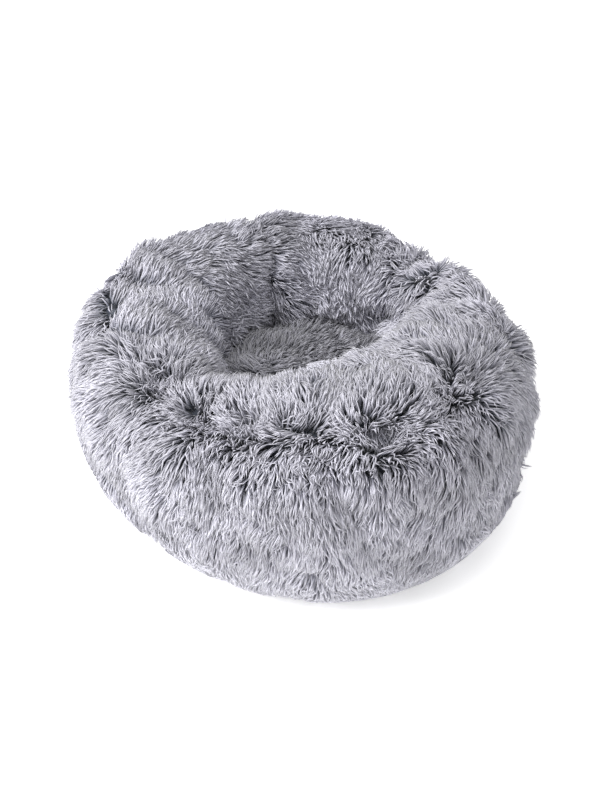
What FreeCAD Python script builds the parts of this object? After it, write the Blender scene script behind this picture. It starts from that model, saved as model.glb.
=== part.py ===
"""Round long-pile pet cushion bed: a filled bolster ring round a filled seat, on a cloth base.

Units are millimetres and +Z is up.  The origin is on the floor under the middle of the base.
The front of the bed faces -Y.  The hollow sits back of centre, so the bolster is fattest in
front.  The rear of the base seam holds a zip, which lets the cover come off for washing.
"""

import FreeCAD, Part
import math
import os
import Sketcher

from FreeCAD import Placement, Rotation, Vector

SIZES = [
    # outline of the pile tips
    ("outer_radius", 250.0, "mean radius of the bed over the pile"),
    ("oval_share", 0.047, "two-lobed part of the outline"),
    ("oval_angle", 123.6, "degrees, direction of the longer lobes"),
    ("corner_share", 0.027, "three-lobed part of the outline"),
    ("corner_angle", 45.1, "degrees, direction of one of the three lobes"),
    # the hollow
    ("hollow_radius", 84.0, "waist of the hollow, tip to tip"),
    ("hollow_across", 2.0, "hollow centre along X"),
    ("hollow_back", 40.0, "hollow centre along Y"),
    # crest of the bolster
    ("crest_height", 203.0, "mean height over the pile"),
    ("crest_tilt", 15.0, "rise towards the high side"),
    ("crest_tilt_angle", -33.3, "degrees, direction of the high side"),
    ("crest_oval", 20.0, "two-lobed part of the height"),
    ("crest_oval_angle", 124.0, "degrees, direction of the higher lobes"),
    ("crest_lean", 6.0, "outward lean of the crest"),
    ("waist_share", 0.46, "height of the widest line over the crest height"),
    ("side_power", 0.87, "squareness of the section's sides"),
    ("top_power", 0.71, "squareness of the section's top"),
    ("foot_power", 0.70, "squareness of the section's foot"),
    ("foot_drop", 12.0, "how far the rounded foot would reach below the floor"),
    # layers of the bolster
    ("base_cloth_thickness", 1.5, "oxford cloth"),
    ("base_share", 0.55, "edge of the base cloth in the section, 1 is the outline"),
    ("fur_thickness", 28.0, "pile and its backing"),
    ("liner_thickness", 1.5, "nonwoven inner bag"),
    ("soft_clearance", 0.3, "between neighbouring soft pieces"),
    ("panel_gap", 0.5, "between sewn fur panels"),
    # panels of the rim
    ("rim_seam_share", 0.21, "rim seam in the section, 0 is the crest line"),
    ("rim_seam_swing", 0.33, "how far the rim seam comes forward"),
    ("rim_seam_angle", -60.0, "degrees, where the rim seam is furthest out"),
    ("gore_start", 41.0, "degrees, first seam between rim panels"),
    # seat
    ("seat_edge_height", 106.0, "top of the seat fur at its edge"),
    ("seat_crown", 12.0, "rise of the seat at its middle"),
    ("seat_fur_thickness", 28.0, "pile and its backing"),
    ("seat_fur_spare", 2.0, "seat fur past the waist of the hollow"),
    ("seat_pad_slack", 4.0, "waist of the bolster's backing to the filled pad"),
    ("seat_pad_radius", "=hollow_radius + fur_thickness - seat_pad_slack",
     "filled pad under the seat fur"),
    ("seat_wall_thickness", 1.0, "cloth wall between seat pad and bolster"),
    # zip in the rear of the base seam
    ("zip_across", -10.0, "centre of the zip's arc along X"),
    ("zip_back", 2.0, "centre of the zip's arc along Y"),
    ("zip_standoff", 2.0, "zip tapes outside the bolster's backing"),
    ("zip_radius", "=outer_radius - fur_thickness + zip_standoff", "inner face of the zip tapes"),
    ("zip_start", 40.0, "degrees, closed end"),
    ("zip_sweep", 100.0, "degrees, length of the tapes"),
    ("tape_thickness", 0.8, "woven tape"),
    ("tape_lap", 6.65, "lower tape over the edge of the base cloth"),
    ("tape_flange", "=zip_radius + tape_lap - outer_radius * (1 + base_share) / 2"
     " - (hollow_back + hollow_radius) * (1 - base_share) / 2",
     "lower tape turned in flat, far enough to lie on the base cloth"),
    ("coil_height", 22.0, "middle line of the zip above the floor"),
    ("coil_size", 2.4, "height of each coil"),
    ("coil_depth", 1.8, "how far each coil stands out from its tape"),
    ("coil_slot", 1.6, "way between the coils for the slider's wedge"),
    ("coil_seat", 0.05, "coil off its tape"),
    ("notch_height", 36.0, "lower edge of the fur over the zip"),
    ("notch_depth", 32.0, "how far the notch reaches in behind the tapes"),
    ("notch_margin", 2.0, "degrees, notch past each end of the tapes"),
    ("stop_length", 2.5, "each stop clip, along the zip"),
    ("stop_gap", 1.0, "stop clip to the slider at each end of its travel"),
    # slider and pull
    ("slider_length", 12.0, "along the zip"),
    ("slider_height", 11.0, "across the zip"),
    ("slider_plate", 1.0, "thickness of each plate"),
    ("slider_clearance", 0.3, "slider to coils and tapes"),
    ("slider_park", 3.0, "degrees, slider from the closed end at rest"),
    ("slider_travel", 90.0, "degrees, full travel of the slider"),
    ("bridge_rise", 4.2, "top of the bridge over the outer plate"),
    ("bridge_wire", 1.2, "thickness of the bridge along and out"),
    ("bridge_width", 1.6, "width of the bridge across the zip"),
    ("bridge_length", 8.4, "length of the bridge along the zip"),
    ("pull_length", 20.0, "pull tab, from its pivot"),
    ("pull_width", 6.4, "pull tab"),
    ("pull_thickness", 1.4, "pull tab"),
    ("pull_window", 5.6, "window in the pull tab, from the pivot"),
    ("pull_window_width", 2.6, "window in the pull tab"),
    # care label
    ("label_sweep", 7.0, "degrees, blank label sewn into the base seam"),
    ("label_angle", 60.0, "degrees, middle of the label"),
    ("label_height", 14.0, "top edge of the label"),
    ("label_thickness", 0.4, "blank label"),
]

GORE_NAMES = ["rim_gore_rear", "rim_gore_left", "rim_gore_front_left",
              "rim_gore_front_right", "rim_gore_right"]
GRID_AROUND = 48      # surface poles round the ring
GRID_SECTION = 28     # surface poles round its section
OUTLINE_POINTS = 72   # points on a flat outline
REACH = 400.0         # construction solids reach past the bed by this much

doc = FreeCAD.newDocument("pet_cushion_bed")


# ---------------------------------------------------------------- driving dimensions

def make_sheet():
    """Put every driving dimension in a spreadsheet row with an alias and a remark."""
    table = doc.addObject("Spreadsheet::Sheet", "sizes")
    for row, (alias, value, remark) in enumerate(SIZES, start=1):
        table.set("A%d" % row, alias)
        table.set("B%d" % row, str(value))
        table.set("C%d" % row, remark)
        table.setAlias("B%d" % row, alias)
    doc.recompute()
    return table


sheet = make_sheet()


def size(alias):
    """Value of one driving dimension."""
    return float(sheet.get(alias))


def bind(thing, prop, expression):
    """Tie a property to the sheet; $name stands for a cell of the sheet."""
    thing.setExpression(prop, expression.replace("$", "sizes."))


# ---------------------------------------------------------------- shape of the bolster

def lobe(angle, count, alias):
    """Cosine of count lobes round the bed, with a top in the direction of the alias."""
    return math.cos(count * (angle - math.radians(size(alias))))


def outline_at(angle):
    """Radius of the pile tips at the widest line."""
    oval = size("oval_share") * lobe(angle, 2, "oval_angle")
    corner = size("corner_share") * lobe(angle, 3, "corner_angle")
    return size("outer_radius") * (1 + oval + corner)


def hollow_at(angle):
    """Distance from the origin to the circle of the hollow."""
    reach = math.hypot(size("hollow_across"), size("hollow_back"))
    turn = angle - math.atan2(size("hollow_back"), size("hollow_across"))
    chord = size("hollow_radius") ** 2 - (reach * math.sin(turn)) ** 2
    return reach * math.cos(turn) + math.sqrt(chord)


def crest_at(angle):
    """Height of the pile tips along the crest."""
    tilt = size("crest_tilt") * lobe(angle, 1, "crest_tilt_angle")
    oval = size("crest_oval") * lobe(angle, 2, "crest_oval_angle")
    return size("crest_height") + tilt + oval


def across_at(angle, share):
    """Radius of a share of the section: -1 the hollow, 0 the crest line, 1 the outline."""
    middle = (outline_at(angle) + hollow_at(angle)) / 2
    half = (outline_at(angle) - hollow_at(angle)) / 2
    return middle + half * share


def signed_power(value, power):
    """Power of a number that keeps its sign."""
    return math.copysign(abs(value) ** power, value)


def section_point(angle, turn, depth):
    """Point of the ring at an angle round the bed and a turn round the section."""
    middle = across_at(angle, 0)
    half = across_at(angle, 1) - middle - depth
    crest = crest_at(angle)
    waist = crest * size("waist_share")
    radius = middle + half * signed_power(math.cos(turn), size("side_power"))
    rise = abs(math.sin(turn))
    if math.sin(turn) > 0:
        height = waist + (crest - depth - waist) * rise ** size("top_power")
    else:
        height = waist - (waist + size("foot_drop")) * rise ** size("foot_power")
    radius += size("crest_lean") * height / crest
    return Vector(radius * math.cos(angle), radius * math.sin(angle), height)


def poles_through(grid):
    """Poles of a cubic closed surface through a grid: each point less a sixth of its bends."""
    rows = len(grid)
    columns = len(grid[0])
    poles = []
    for i in range(rows):
        row = []
        for j in range(columns):
            here = grid[i][j]
            around = grid[i - 1][j] + grid[(i + 1) % rows][j] - here * 2
            across = grid[i][j - 1] + grid[i][(j + 1) % columns] - here * 2
            row.append(here - (around + across) / 6)
        poles.append(row)
    return poles


def ring_solid(depth):
    """Closed ring whose surface lies a depth inside the pile tips."""
    grid = []
    for i in range(GRID_AROUND):
        angle = 2 * math.pi * i / GRID_AROUND
        turns = [-2 * math.pi * j / GRID_SECTION for j in range(GRID_SECTION)]
        grid.append([section_point(angle, turn, depth) for turn in turns])
    surface = Part.BSplineSurface()
    ones_around = [1] * (GRID_AROUND + 1)
    ones_section = [1] * (GRID_SECTION + 1)
    knots_around = [float(k) for k in range(GRID_AROUND + 1)]
    knots_section = [float(k) for k in range(GRID_SECTION + 1)]
    surface.buildFromPolesMultsKnots(
        poles_through(grid), ones_around, ones_section,
        knots_around, knots_section, True, True, 3, 3)
    return Part.Solid(Part.Shell([surface.toShape()]))


def outline_prism(radius_at, low, high):
    """Upright prism from low to high inside the closed outline radius_at(angle)."""
    points = []
    for i in range(OUTLINE_POINTS):
        angle = 2 * math.pi * i / OUTLINE_POINTS
        radius = radius_at(angle)
        points.append(Vector(radius * math.cos(angle), radius * math.sin(angle), low))
    curve = Part.BSplineCurve()
    curve.interpolate(Points=points, PeriodicFlag=True)
    face = Part.Face(Part.Wire([curve.toShape()]))
    return face.extrude(Vector(0, 0, high - low))


# ---------------------------------------------------------------- document helpers

def feature(name, shape):
    """Free-form solid that Part's own functions made."""
    thing = doc.addObject("Part::Feature", name)
    thing.Shape = shape
    thing.Placement = Placement()
    return thing


def cut(name, base, tool):
    """Base less tool."""
    thing = doc.addObject("Part::Cut", name)
    thing.Base = base
    thing.Tool = tool
    thing.Refine = False
    return thing


def common(name, base, tool):
    """What base and tool share."""
    thing = doc.addObject("Part::Common", name)
    thing.Base = base
    thing.Tool = tool
    thing.Refine = False
    return thing


def box(name, length, width, height, place):
    """Part box with its three sizes and its corner bound to expressions."""
    thing = doc.addObject("Part::Box", name)
    bind(thing, "Length", length)
    bind(thing, "Width", width)
    bind(thing, "Height", height)
    for axis, expression in zip("xyz", place):
        bind(thing, "Placement.Base." + axis, expression)
    return thing


def pie(name, radius, low, high, sweep, start, centre):
    """Upright sector of a cylinder, sweep degrees from start, about a centre."""
    thing = doc.addObject("Part::Cylinder", name)
    bind(thing, "Radius", radius)
    bind(thing, "Height", "(%s) - (%s)" % (high, low))
    bind(thing, "Angle", sweep)
    thing.Placement = Placement(Vector(), Rotation(Vector(0, 0, 1), 1))
    bind(thing, "Placement.Rotation.Angle", start)
    bind(thing, "Placement.Base.x", centre[0])
    bind(thing, "Placement.Base.y", centre[1])
    bind(thing, "Placement.Base.z", low)
    return thing


def origin_plane(body, role):
    """One of a body's own origin planes."""
    return next(item for item in body.Origin.OriginFeatures if item.Role == role)


def profile(body, name, corners, role="XZ_Plane"):
    """Closed straight-sided sketch on an origin plane, with every corner tied to the sheet."""
    sketch = body.newObject("Sketcher::SketchObject", name)
    sketch.AttachmentSupport = [(origin_plane(body, role), "")]
    sketch.MapMode = "FlatFace"
    texts = [[text.replace("$", "sizes.") for text in corner] for corner in corners]
    values = [[float(sheet.evalExpression(text)) for text in corner] for corner in texts]
    spots = [Vector(across, up, 0) for across, up in values]
    count = len(spots)
    for i in range(count):
        sketch.addGeometry(Part.LineSegment(spots[i], spots[(i + 1) % count]), False)
    for i in range(count):
        sketch.addConstraint(Sketcher.Constraint("Coincident", i, 2, (i + 1) % count, 1))
    for i in range(count):
        for kind, text, value in zip(("DistanceX", "DistanceY"), texts[i], values[i]):
            index = sketch.addConstraint(Sketcher.Constraint(kind, -1, 1, i, 1, value))
            sketch.setExpression("Constraints[%d]" % index, text)
    return sketch


def revolved(name, corners, sweep="360"):
    """Body whose profile turns about Z, half of the sweep to each side of the XZ plane."""
    body = doc.addObject("PartDesign::Body", name)
    sketch = profile(body, name + "_profile", corners)
    turned = body.newObject("PartDesign::Revolution", name + "_turned")
    turned.Profile = sketch
    turned.ReferenceAxis = (sketch, ["V_Axis"])
    turned.Midplane = True
    bind(turned, "Angle", sweep)
    return body


def place(thing, across, back, turn="0"):
    """Move a piece to a centre on the floor and turn it about Z."""
    thing.Placement = Placement(Vector(), Rotation(Vector(0, 0, 1), 1))
    bind(thing, "Placement.Base.x", across)
    bind(thing, "Placement.Base.y", back)
    bind(thing, "Placement.Rotation.Angle", turn)
    return thing


def rectangle(inner, outer, low, high):
    """Corners of an upright rectangle from its inner and outer radius and its heights."""
    return [(inner, low), (outer, low), (outer, high), (inner, high)]


SEAT = ("$hollow_across", "$hollow_back")
ZIP = ("$zip_across", "$zip_back")
NODES = []


def node(thing, label):
    """List a finished sub-part under its own label."""
    thing.Label = label
    NODES.append(thing)
    return thing


# ---------------------------------------------------------------- base

def make_base_cloth():
    """Flat oxford cloth under the bed, cut to the bed's outline."""
    share = size("base_share")
    shape = outline_prism(lambda angle: across_at(angle, share), 0, size("base_cloth_thickness"))
    return node(feature("base_cloth", shape), "base_cloth")


# ---------------------------------------------------------------- bolster

def flat_foot(name, ring):
    """Cut a ring flat just above the base cloth."""
    below = box(name + "_below", str(2 * REACH), str(2 * REACH), str(REACH),
                (str(-REACH), str(-REACH),
                 "$base_cloth_thickness + $soft_clearance - %s" % REACH))
    return cut(name, ring, below)


def make_bolster_inside():
    """Inner bag of the bolster and the fibre that fills it."""
    outer = size("fur_thickness") + size("soft_clearance")
    inner = outer + size("liner_thickness")
    filled = inner + size("soft_clearance")
    bag = flat_foot("liner_outside", feature("liner_form", ring_solid(outer)))
    room = feature("liner_room_form", ring_solid(inner))
    floor = box("liner_floor", str(2 * REACH), str(2 * REACH), str(REACH),
                (str(-REACH), str(-REACH), "$base_cloth_thickness + $soft_clearance"
                 " + $liner_thickness - %s" % REACH))
    node(cut("bolster_liner", bag, cut("liner_room", room, floor)), "bolster_liner")
    fill = feature("filling_form", ring_solid(filled))
    under = box("filling_floor", str(2 * REACH), str(2 * REACH), str(REACH),
                (str(-REACH), str(-REACH), "$base_cloth_thickness + 2 * $soft_clearance"
                 " + $liner_thickness - %s" % REACH))
    node(cut("bolster_filling", fill, under), "bolster_filling")


def make_zip_notch():
    """Room under the rear edge of the fur, where the zip lies."""
    start = "$zip_start - $notch_margin"
    sweep = "$zip_sweep + 2 * $notch_margin"
    outer = pie("notch_outer", "$zip_radius + %s" % REACH, "-1", "$notch_height", sweep, start, ZIP)
    inner = pie("notch_inner", "$zip_radius - $notch_depth", "-2", "$notch_height + 1",
                "360", "0", ZIP)
    return cut("zip_notch", outer, inner)


def seam_at(side):
    """Outline of the rim seam, moved out or in by half the gap between panels."""
    def radius(angle):
        """Radius of the seam at an angle."""
        swing = size("rim_seam_swing") * lobe(angle, 1, "rim_seam_angle")
        offset = size("crest_lean") + side * size("panel_gap") / 2
        return across_at(angle, size("rim_seam_share") + swing) + offset
    return radius


def make_fur_shell():
    """Fur round the bolster: open at the foot, inside the seat's edge and over the zip."""
    tips = feature("pile_tips", ring_solid(0.0))
    back = feature("fur_back", ring_solid(size("fur_thickness")))
    shell = flat_foot("fur_footed", cut("fur_shell", tips, back))
    seat_under = size("seat_edge_height") - size("seat_fur_thickness")
    pocket = outline_prism(lambda angle: across_at(angle, 0), -REACH, seat_under)
    return cut("fur_open", shell, feature("seat_pocket", pocket))


def make_outer_wall(shell):
    """One strip of fur from the rim seam down to the base seam."""
    low = size("seat_edge_height") - size("seat_fur_thickness")
    inside = outline_prism(seam_at(1), low, REACH)
    whole = cut("wall_whole", shell, feature("inside_rim_seam", inside))
    return node(cut("outer_wall_fur", whole, make_zip_notch()), "outer_wall_fur")


def make_rim_gores(shell):
    """Panels that go over the crest and down into the hollow, seamed at even angles."""
    low = size("seat_edge_height") - size("seat_fur_thickness")
    inside = outline_prism(seam_at(-1), low + size("soft_clearance"), REACH)
    rim = common("rim_whole", shell, feature("rim_zone", inside))
    step = 360.0 / len(GORE_NAMES)
    for index, name in enumerate(GORE_NAMES):
        start = "$gore_start + %s + $panel_gap / $hollow_radius * 90 / pi" % (index * step)
        sweep = "%s - $panel_gap / $hollow_radius * 180 / pi" % step
        sector = pie(name + "_sector", str(REACH), str(-REACH), str(REACH), sweep, start, SEAT)
        node(common(name, rim, sector), name)


# ---------------------------------------------------------------- seat

def make_seat():
    """Round filled pad in its bag, the cloth wall round it and the fur on top."""
    low = "$base_cloth_thickness + $soft_clearance"
    top = "$seat_edge_height - $seat_fur_thickness"
    thick = "$liner_thickness"
    bag = revolved("seat_bag_outside", rectangle("0", "$seat_pad_radius", low, top))
    room = revolved("seat_bag_room", rectangle("0", "$seat_pad_radius - " + thick,
                                               low + " + " + thick, top + " - " + thick))
    liner = cut("seat_liner", bag, room)
    place(node(liner, "seat_liner"), *SEAT)
    skin = thick + " + $soft_clearance"
    fill = revolved("seat_filling", rectangle("0", "$seat_pad_radius - (%s)" % skin,
                                              "%s + %s" % (low, skin), "%s - (%s)" % (top, skin)))
    place(node(fill, "seat_filling"), *SEAT)
    inner = "$seat_pad_radius + $soft_clearance"
    wall = revolved("seat_wall_cloth", rectangle(inner, inner + " + $seat_wall_thickness", low, top))
    place(node(wall, "seat_wall_cloth"), *SEAT)
    place(node(make_seat_fur(), "seat_fur"), *SEAT)


def make_seat_fur():
    """Fur disc with a gently crowned top: a cylinder shared with a large ball."""
    edge = "($hollow_radius + $seat_fur_spare)"
    disc = doc.addObject("Part::Cylinder", "seat_fur_disc")
    bind(disc, "Radius", edge)
    bind(disc, "Height", "$seat_fur_thickness + $seat_crown")
    disc.Placement = Placement()
    bind(disc, "Placement.Base.z", "$seat_edge_height - $seat_fur_thickness + $soft_clearance")
    ball = doc.addObject("Part::Sphere", "seat_crown_ball")
    ball_radius = "(%s ^ 2 + $seat_crown ^ 2) / (2 * $seat_crown)" % edge
    bind(ball, "Radius", ball_radius)
    ball.Placement = Placement()
    bind(ball, "Placement.Base.z", "$seat_edge_height + $seat_crown - " + ball_radius)
    return common("seat_fur", disc, ball)


# ---------------------------------------------------------------- zip

TAPE_FACE = "$zip_radius + $tape_thickness"
COIL_FRONT = TAPE_FACE + " + $coil_seat + $coil_depth"
LOW_COIL_TOP = "$coil_height - $coil_slot / 2"
HIGH_COIL_FOOT = "$coil_height + $coil_slot / 2"
ZIP_MIDDLE = "$zip_start + $zip_sweep / 2"
REST_ANGLE = "$zip_start + $slider_park"


def arc_degrees(length):
    """Angle that a length covers along the zip."""
    return "(%s) / $zip_radius * 180 / pi" % length


STOP_OFFSET = arc_degrees("$slider_length / 2 + $stop_gap + $stop_length / 2")
CLOSED_STOP = "(%s - %s)" % (REST_ANGLE, STOP_OFFSET)
OPEN_STOP = "(%s + $slider_travel + %s)" % (REST_ANGLE, STOP_OFFSET)


def make_zip_tapes():
    """Two woven tapes: the lower one turns in over the base cloth."""
    foot = "$base_cloth_thickness + $coil_seat"
    corners = [("$zip_radius - $tape_flange", foot), (TAPE_FACE, foot), (TAPE_FACE, LOW_COIL_TOP),
               ("$zip_radius", LOW_COIL_TOP), ("$zip_radius", foot + " + $tape_thickness"),
               ("$zip_radius - $tape_flange", foot + " + $tape_thickness")]
    lower = revolved("zip_tape_lower", corners, "$zip_sweep")
    place(node(lower, "zip_tape_lower"), *ZIP, ZIP_MIDDLE)
    top = "$notch_height - $soft_clearance"
    upper = revolved("zip_tape_upper", rectangle("$zip_radius", TAPE_FACE, HIGH_COIL_FOOT, top),
                     "$zip_sweep")
    place(node(upper, "zip_tape_upper"), *ZIP, ZIP_MIDDLE)


def make_zip_coils():
    """Two coils sewn to the facing edges of the tapes, between the stops."""
    sweep = "%s - %s - %s" % (OPEN_STOP, CLOSED_STOP, arc_degrees("$stop_length + 2 * $coil_seat"))
    middle = "(%s + %s) / 2" % (OPEN_STOP, CLOSED_STOP)
    inner = TAPE_FACE + " + $coil_seat"
    heights = {"zip_coil_lower": (LOW_COIL_TOP + " - $coil_size", LOW_COIL_TOP),
               "zip_coil_upper": (HIGH_COIL_FOOT, HIGH_COIL_FOOT + " + $coil_size")}
    for name, (low, high) in heights.items():
        coil = revolved(name, rectangle(inner, COIL_FRONT, low, high), sweep)
        place(node(coil, name), *ZIP, middle)


def stop_clip(name, low, high, angle):
    """Clip on the face of the tapes that the slider comes up against."""
    inner = TAPE_FACE + " + $coil_seat"
    clip = revolved(name, rectangle(inner, COIL_FRONT, low, high), arc_degrees("$stop_length"))
    return place(clip, *ZIP, angle)


def make_zip_stops():
    """A pair of top stops at the closed end and one bottom stop at the open end."""
    low = LOW_COIL_TOP + " - $coil_size"
    high = HIGH_COIL_FOOT + " + $coil_size"
    pair = doc.addObject("Part::Compound", "zip_top_stops")
    pair.Links = [stop_clip("top_stop_lower", low, LOW_COIL_TOP, CLOSED_STOP),
                  stop_clip("top_stop_upper", HIGH_COIL_FOOT, high, CLOSED_STOP)]
    node(pair, "zip_top_stops")
    node(stop_clip("zip_bottom_stop", low, high, OPEN_STOP), "zip_bottom_stop")


# ---------------------------------------------------------------- slider and pull

PLATE_FACE = COIL_FRONT + " + $slider_clearance"
PLATE_FRONT = PLATE_FACE + " + $slider_plate"
PIVOT = PLATE_FRONT + " + ($bridge_rise - $bridge_wire) / 2"


def block(name, inner, outer, length, low, high):
    """Box astride the radial line of the slider, from its radii, length and heights."""
    return box(name, "(%s) - (%s)" % (outer, inner), length, "(%s) - (%s)" % (high, low),
               (inner, "-(%s) / 2" % length, low))


def fused(name, things):
    """Several solids joined in one."""
    joined = doc.addObject("Part::MultiFuse", name)
    joined.Shapes = things
    return joined


def make_slider():
    """Two plates joined by the wedge, with side lips round the coils and a bridge in front."""
    low = "$coil_height - $slider_height / 2"
    high = "$coil_height + $slider_height / 2"
    back = "$zip_radius - $slider_clearance"
    lip_foot = TAPE_FACE + " + $slider_clearance"
    lip = "$slider_plate"
    wedge = "($coil_slot / 2 - $slider_clearance)"
    bridge_foot = "$coil_height - $bridge_width / 2"
    bridge_top = "$coil_height + $bridge_width / 2"
    bridge_front = PLATE_FRONT + " + $bridge_rise"
    solids = [
        block("slider_back", back + " - $slider_plate", back, "$slider_length", low, high),
        block("slider_front", PLATE_FACE, PLATE_FRONT, "$slider_length", low, high),
        block("slider_wedge", back, PLATE_FACE, "$slider_length / 2",
              "$coil_height - " + wedge, "$coil_height + " + wedge),
        block("slider_lip_low", lip_foot, PLATE_FACE, "$slider_length", low, low + " + " + lip),
        block("slider_lip_high", lip_foot, PLATE_FACE, "$slider_length", high + " - " + lip, high),
    ]
    arch = block("bridge_arch", PLATE_FRONT, bridge_front, "$bridge_length", bridge_foot, bridge_top)
    under = block("bridge_under", PLATE_FRONT + " - $slider_plate", bridge_front + " - $bridge_wire",
                  "($bridge_length - 2 * $bridge_wire)", bridge_foot + " - 1", bridge_top + " + 1")
    solids.append(cut("slider_bridge", arch, under))
    place(node(fused("zip_slider", solids), "zip_slider"), *ZIP, REST_ANGLE)


def make_pull():
    """Tab with a window that the bridge passes through; its end bar turns under the bridge."""
    low = "$coil_height - $pull_width / 2"
    high = "$coil_height + $pull_width / 2"
    half = "$pull_thickness / 2"
    bar = doc.addObject("Part::Cylinder", "pull_bar")
    bind(bar, "Radius", half)
    bind(bar, "Height", "$pull_width")
    bar.Placement = Placement()
    bind(bar, "Placement.Base.x", PIVOT)
    bind(bar, "Placement.Base.z", low)
    tab = box("pull_tab", "$pull_thickness", "$pull_length", "$pull_width",
              (PIVOT + " - " + half, "0", low))
    window = box("pull_window_cut", "$pull_thickness + 2", "$pull_window - " + half,
                 "$pull_window_width", (PIVOT + " - %s - 1" % half, half,
                                        "$coil_height - $pull_window_width / 2"))
    pull = cut("zip_pull", fused("pull_whole", [bar, tab]), window)
    place(node(pull, "zip_pull"), *ZIP, REST_ANGLE)


def make_care_label():
    """Blank folded label sewn into the base seam below the coils."""
    inner = TAPE_FACE + " + $coil_seat"
    label = revolved("care_label", rectangle(inner, inner + " + $label_thickness",
                                             "$base_cloth_thickness + $coil_seat",
                                             "$label_height"), "$label_sweep")
    place(node(label, "care_label"), *ZIP, "$label_angle")


# ---------------------------------------------------------------- build, check and write

def build():
    """Make every sub-part, check it and write it."""
    make_base_cloth()
    make_bolster_inside()
    shell = make_fur_shell()
    make_outer_wall(shell)
    make_rim_gores(shell)
    make_seat()
    make_zip_tapes()
    make_zip_coils()
    make_zip_stops()
    make_slider()
    make_pull()
    make_care_label()
    doc.recompute()
    faults = [thing.Name for thing in doc.Objects
              if "Invalid" in thing.State or "Error" in thing.State]
    faults += [thing.Name for thing in NODES if thing.Shape.isNull() or not thing.Shape.isValid()]
    if faults:
        raise RuntimeError("failed objects: " + ", ".join(faults))
    os.makedirs("parts", exist_ok=True)
    for thing in NODES:
        thing.Shape.exportStep("parts/%s.step" % thing.Label)
        bounds = thing.Shape.BoundBox
        print("%-22s %2d solid(s) %10.0f mm3  x %6.1f %6.1f  y %6.1f %6.1f  z %6.1f %6.1f" % (
            thing.Label, len(thing.Shape.Solids), thing.Shape.Volume, bounds.XMin, bounds.XMax,
            bounds.YMin, bounds.YMax, bounds.ZMin, bounds.ZMax))


build()
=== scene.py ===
"""Looks of a round long-pile pet cushion bed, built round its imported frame.

The bolster is a stuffed ring.  A padded form gives its shape, and its fur is modelled lock by
lock: each lock is a thin, bent, tapering solid that is planted in the cloth backing.
Lengths are metres.  Angles round the bed are counted from +X towards +Y, and turns round the
bolster's section from its outside (0) over the crest (a quarter) to the hollow (a half).
"""

import logging
import math
from dataclasses import dataclass, field
from enum import Enum

import bmesh
import bpy
import numpy as np
from bpy.types import Material, Mesh, Node, Object
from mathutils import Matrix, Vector


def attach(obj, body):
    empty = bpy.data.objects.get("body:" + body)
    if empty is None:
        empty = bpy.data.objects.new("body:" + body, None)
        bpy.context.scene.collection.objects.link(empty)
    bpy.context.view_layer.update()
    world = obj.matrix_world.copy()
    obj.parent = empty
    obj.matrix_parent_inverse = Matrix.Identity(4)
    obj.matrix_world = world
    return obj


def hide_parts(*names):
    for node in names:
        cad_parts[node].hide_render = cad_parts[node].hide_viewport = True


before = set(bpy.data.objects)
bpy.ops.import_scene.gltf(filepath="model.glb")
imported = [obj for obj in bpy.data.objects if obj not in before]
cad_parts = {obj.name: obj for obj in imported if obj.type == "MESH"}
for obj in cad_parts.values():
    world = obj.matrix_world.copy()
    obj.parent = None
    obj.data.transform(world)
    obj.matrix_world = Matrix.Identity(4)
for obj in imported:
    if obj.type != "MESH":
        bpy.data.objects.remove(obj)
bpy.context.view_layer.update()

LOG = logging.getLogger("pet_bed")
MM = 0.001
BODY = "cushion"
Array = np.ndarray
Colour = tuple[float, float, float]
Stops = tuple[tuple[float, float], ...]
Socket = tuple[Node, str | int]

# Depth inside the pile tips at which folds and swellings are drawn.
ROOT_DEPTH = 16 * MM
# Length along the bolster's section of one radian of turn.
TURN_REACH = 95 * MM
# Turn under the section past which turns are counted back from the outside.
UNDER_TURN = math.radians(250)
# Angle that spreads spots evenly over a disc, seed by seed.
GOLDEN_ANGLE = 2.399963
# Large primes that mix the coordinates of a cell of space into one number.
CELL_PRIMES = (73856093, 19349663, 83492791)


# ---------------------------------------------------------------- small numpy helpers

def unit(vectors: Array) -> Array:
    """Vectors divided by their lengths."""
    length = np.linalg.norm(vectors, axis=-1, keepdims=True)
    return vectors / np.maximum(length, 1e-12)


def dot(a: Array, b: Array) -> Array:
    """Row by row dot product, kept as a column."""
    return np.sum(a * b, axis=-1, keepdims=True)


def signed_power(values: Array, power: float) -> Array:
    """Power of the size of each value, with the value's sign kept."""
    return np.sign(values) * np.abs(values) ** power


def bump(distance: Array, width: float) -> Array:
    """Bell curve: one at no distance, falling off over a width."""
    return np.exp(-0.5 * (distance / width) ** 2)


def turn_gap(a: Array, b: float) -> Array:
    """Signed angle from b to a, between minus and plus half a turn."""
    return (a - b + math.pi) % math.tau - math.pi


def polar(radius: Array, angle: Array, height: Array) -> Array:
    """Points of given radii, angles and heights, (..., 3)."""
    parts = np.broadcast_arrays(radius * np.cos(angle), radius * np.sin(angle), height)
    return np.stack(parts, axis=-1)


def bearing(points: Array, centre: Array | tuple[float, float]) -> tuple[Array, Array]:
    """Angles and distances of points in plan, about a centre."""
    across, back = points[..., 0] - centre[0], points[..., 1] - centre[1]
    return np.arctan2(back, across), np.hypot(across, back)


def turned(direction: Array, normal: Array, spin: Array) -> Array:
    """Directions turned about their unit normals by angles, row by row."""
    side = np.cross(normal, direction)
    return unit(direction * np.cos(spin)[:, None] + side * np.sin(spin)[:, None])


def cell_key(cells: Array) -> Array:
    """One number for each cell of space that the rows of coordinates lie in."""
    products = np.floor(cells).astype(np.int64) * np.array(CELL_PRIMES[:cells.shape[1]])
    return np.bitwise_xor.reduce(products, axis=1)


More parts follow.
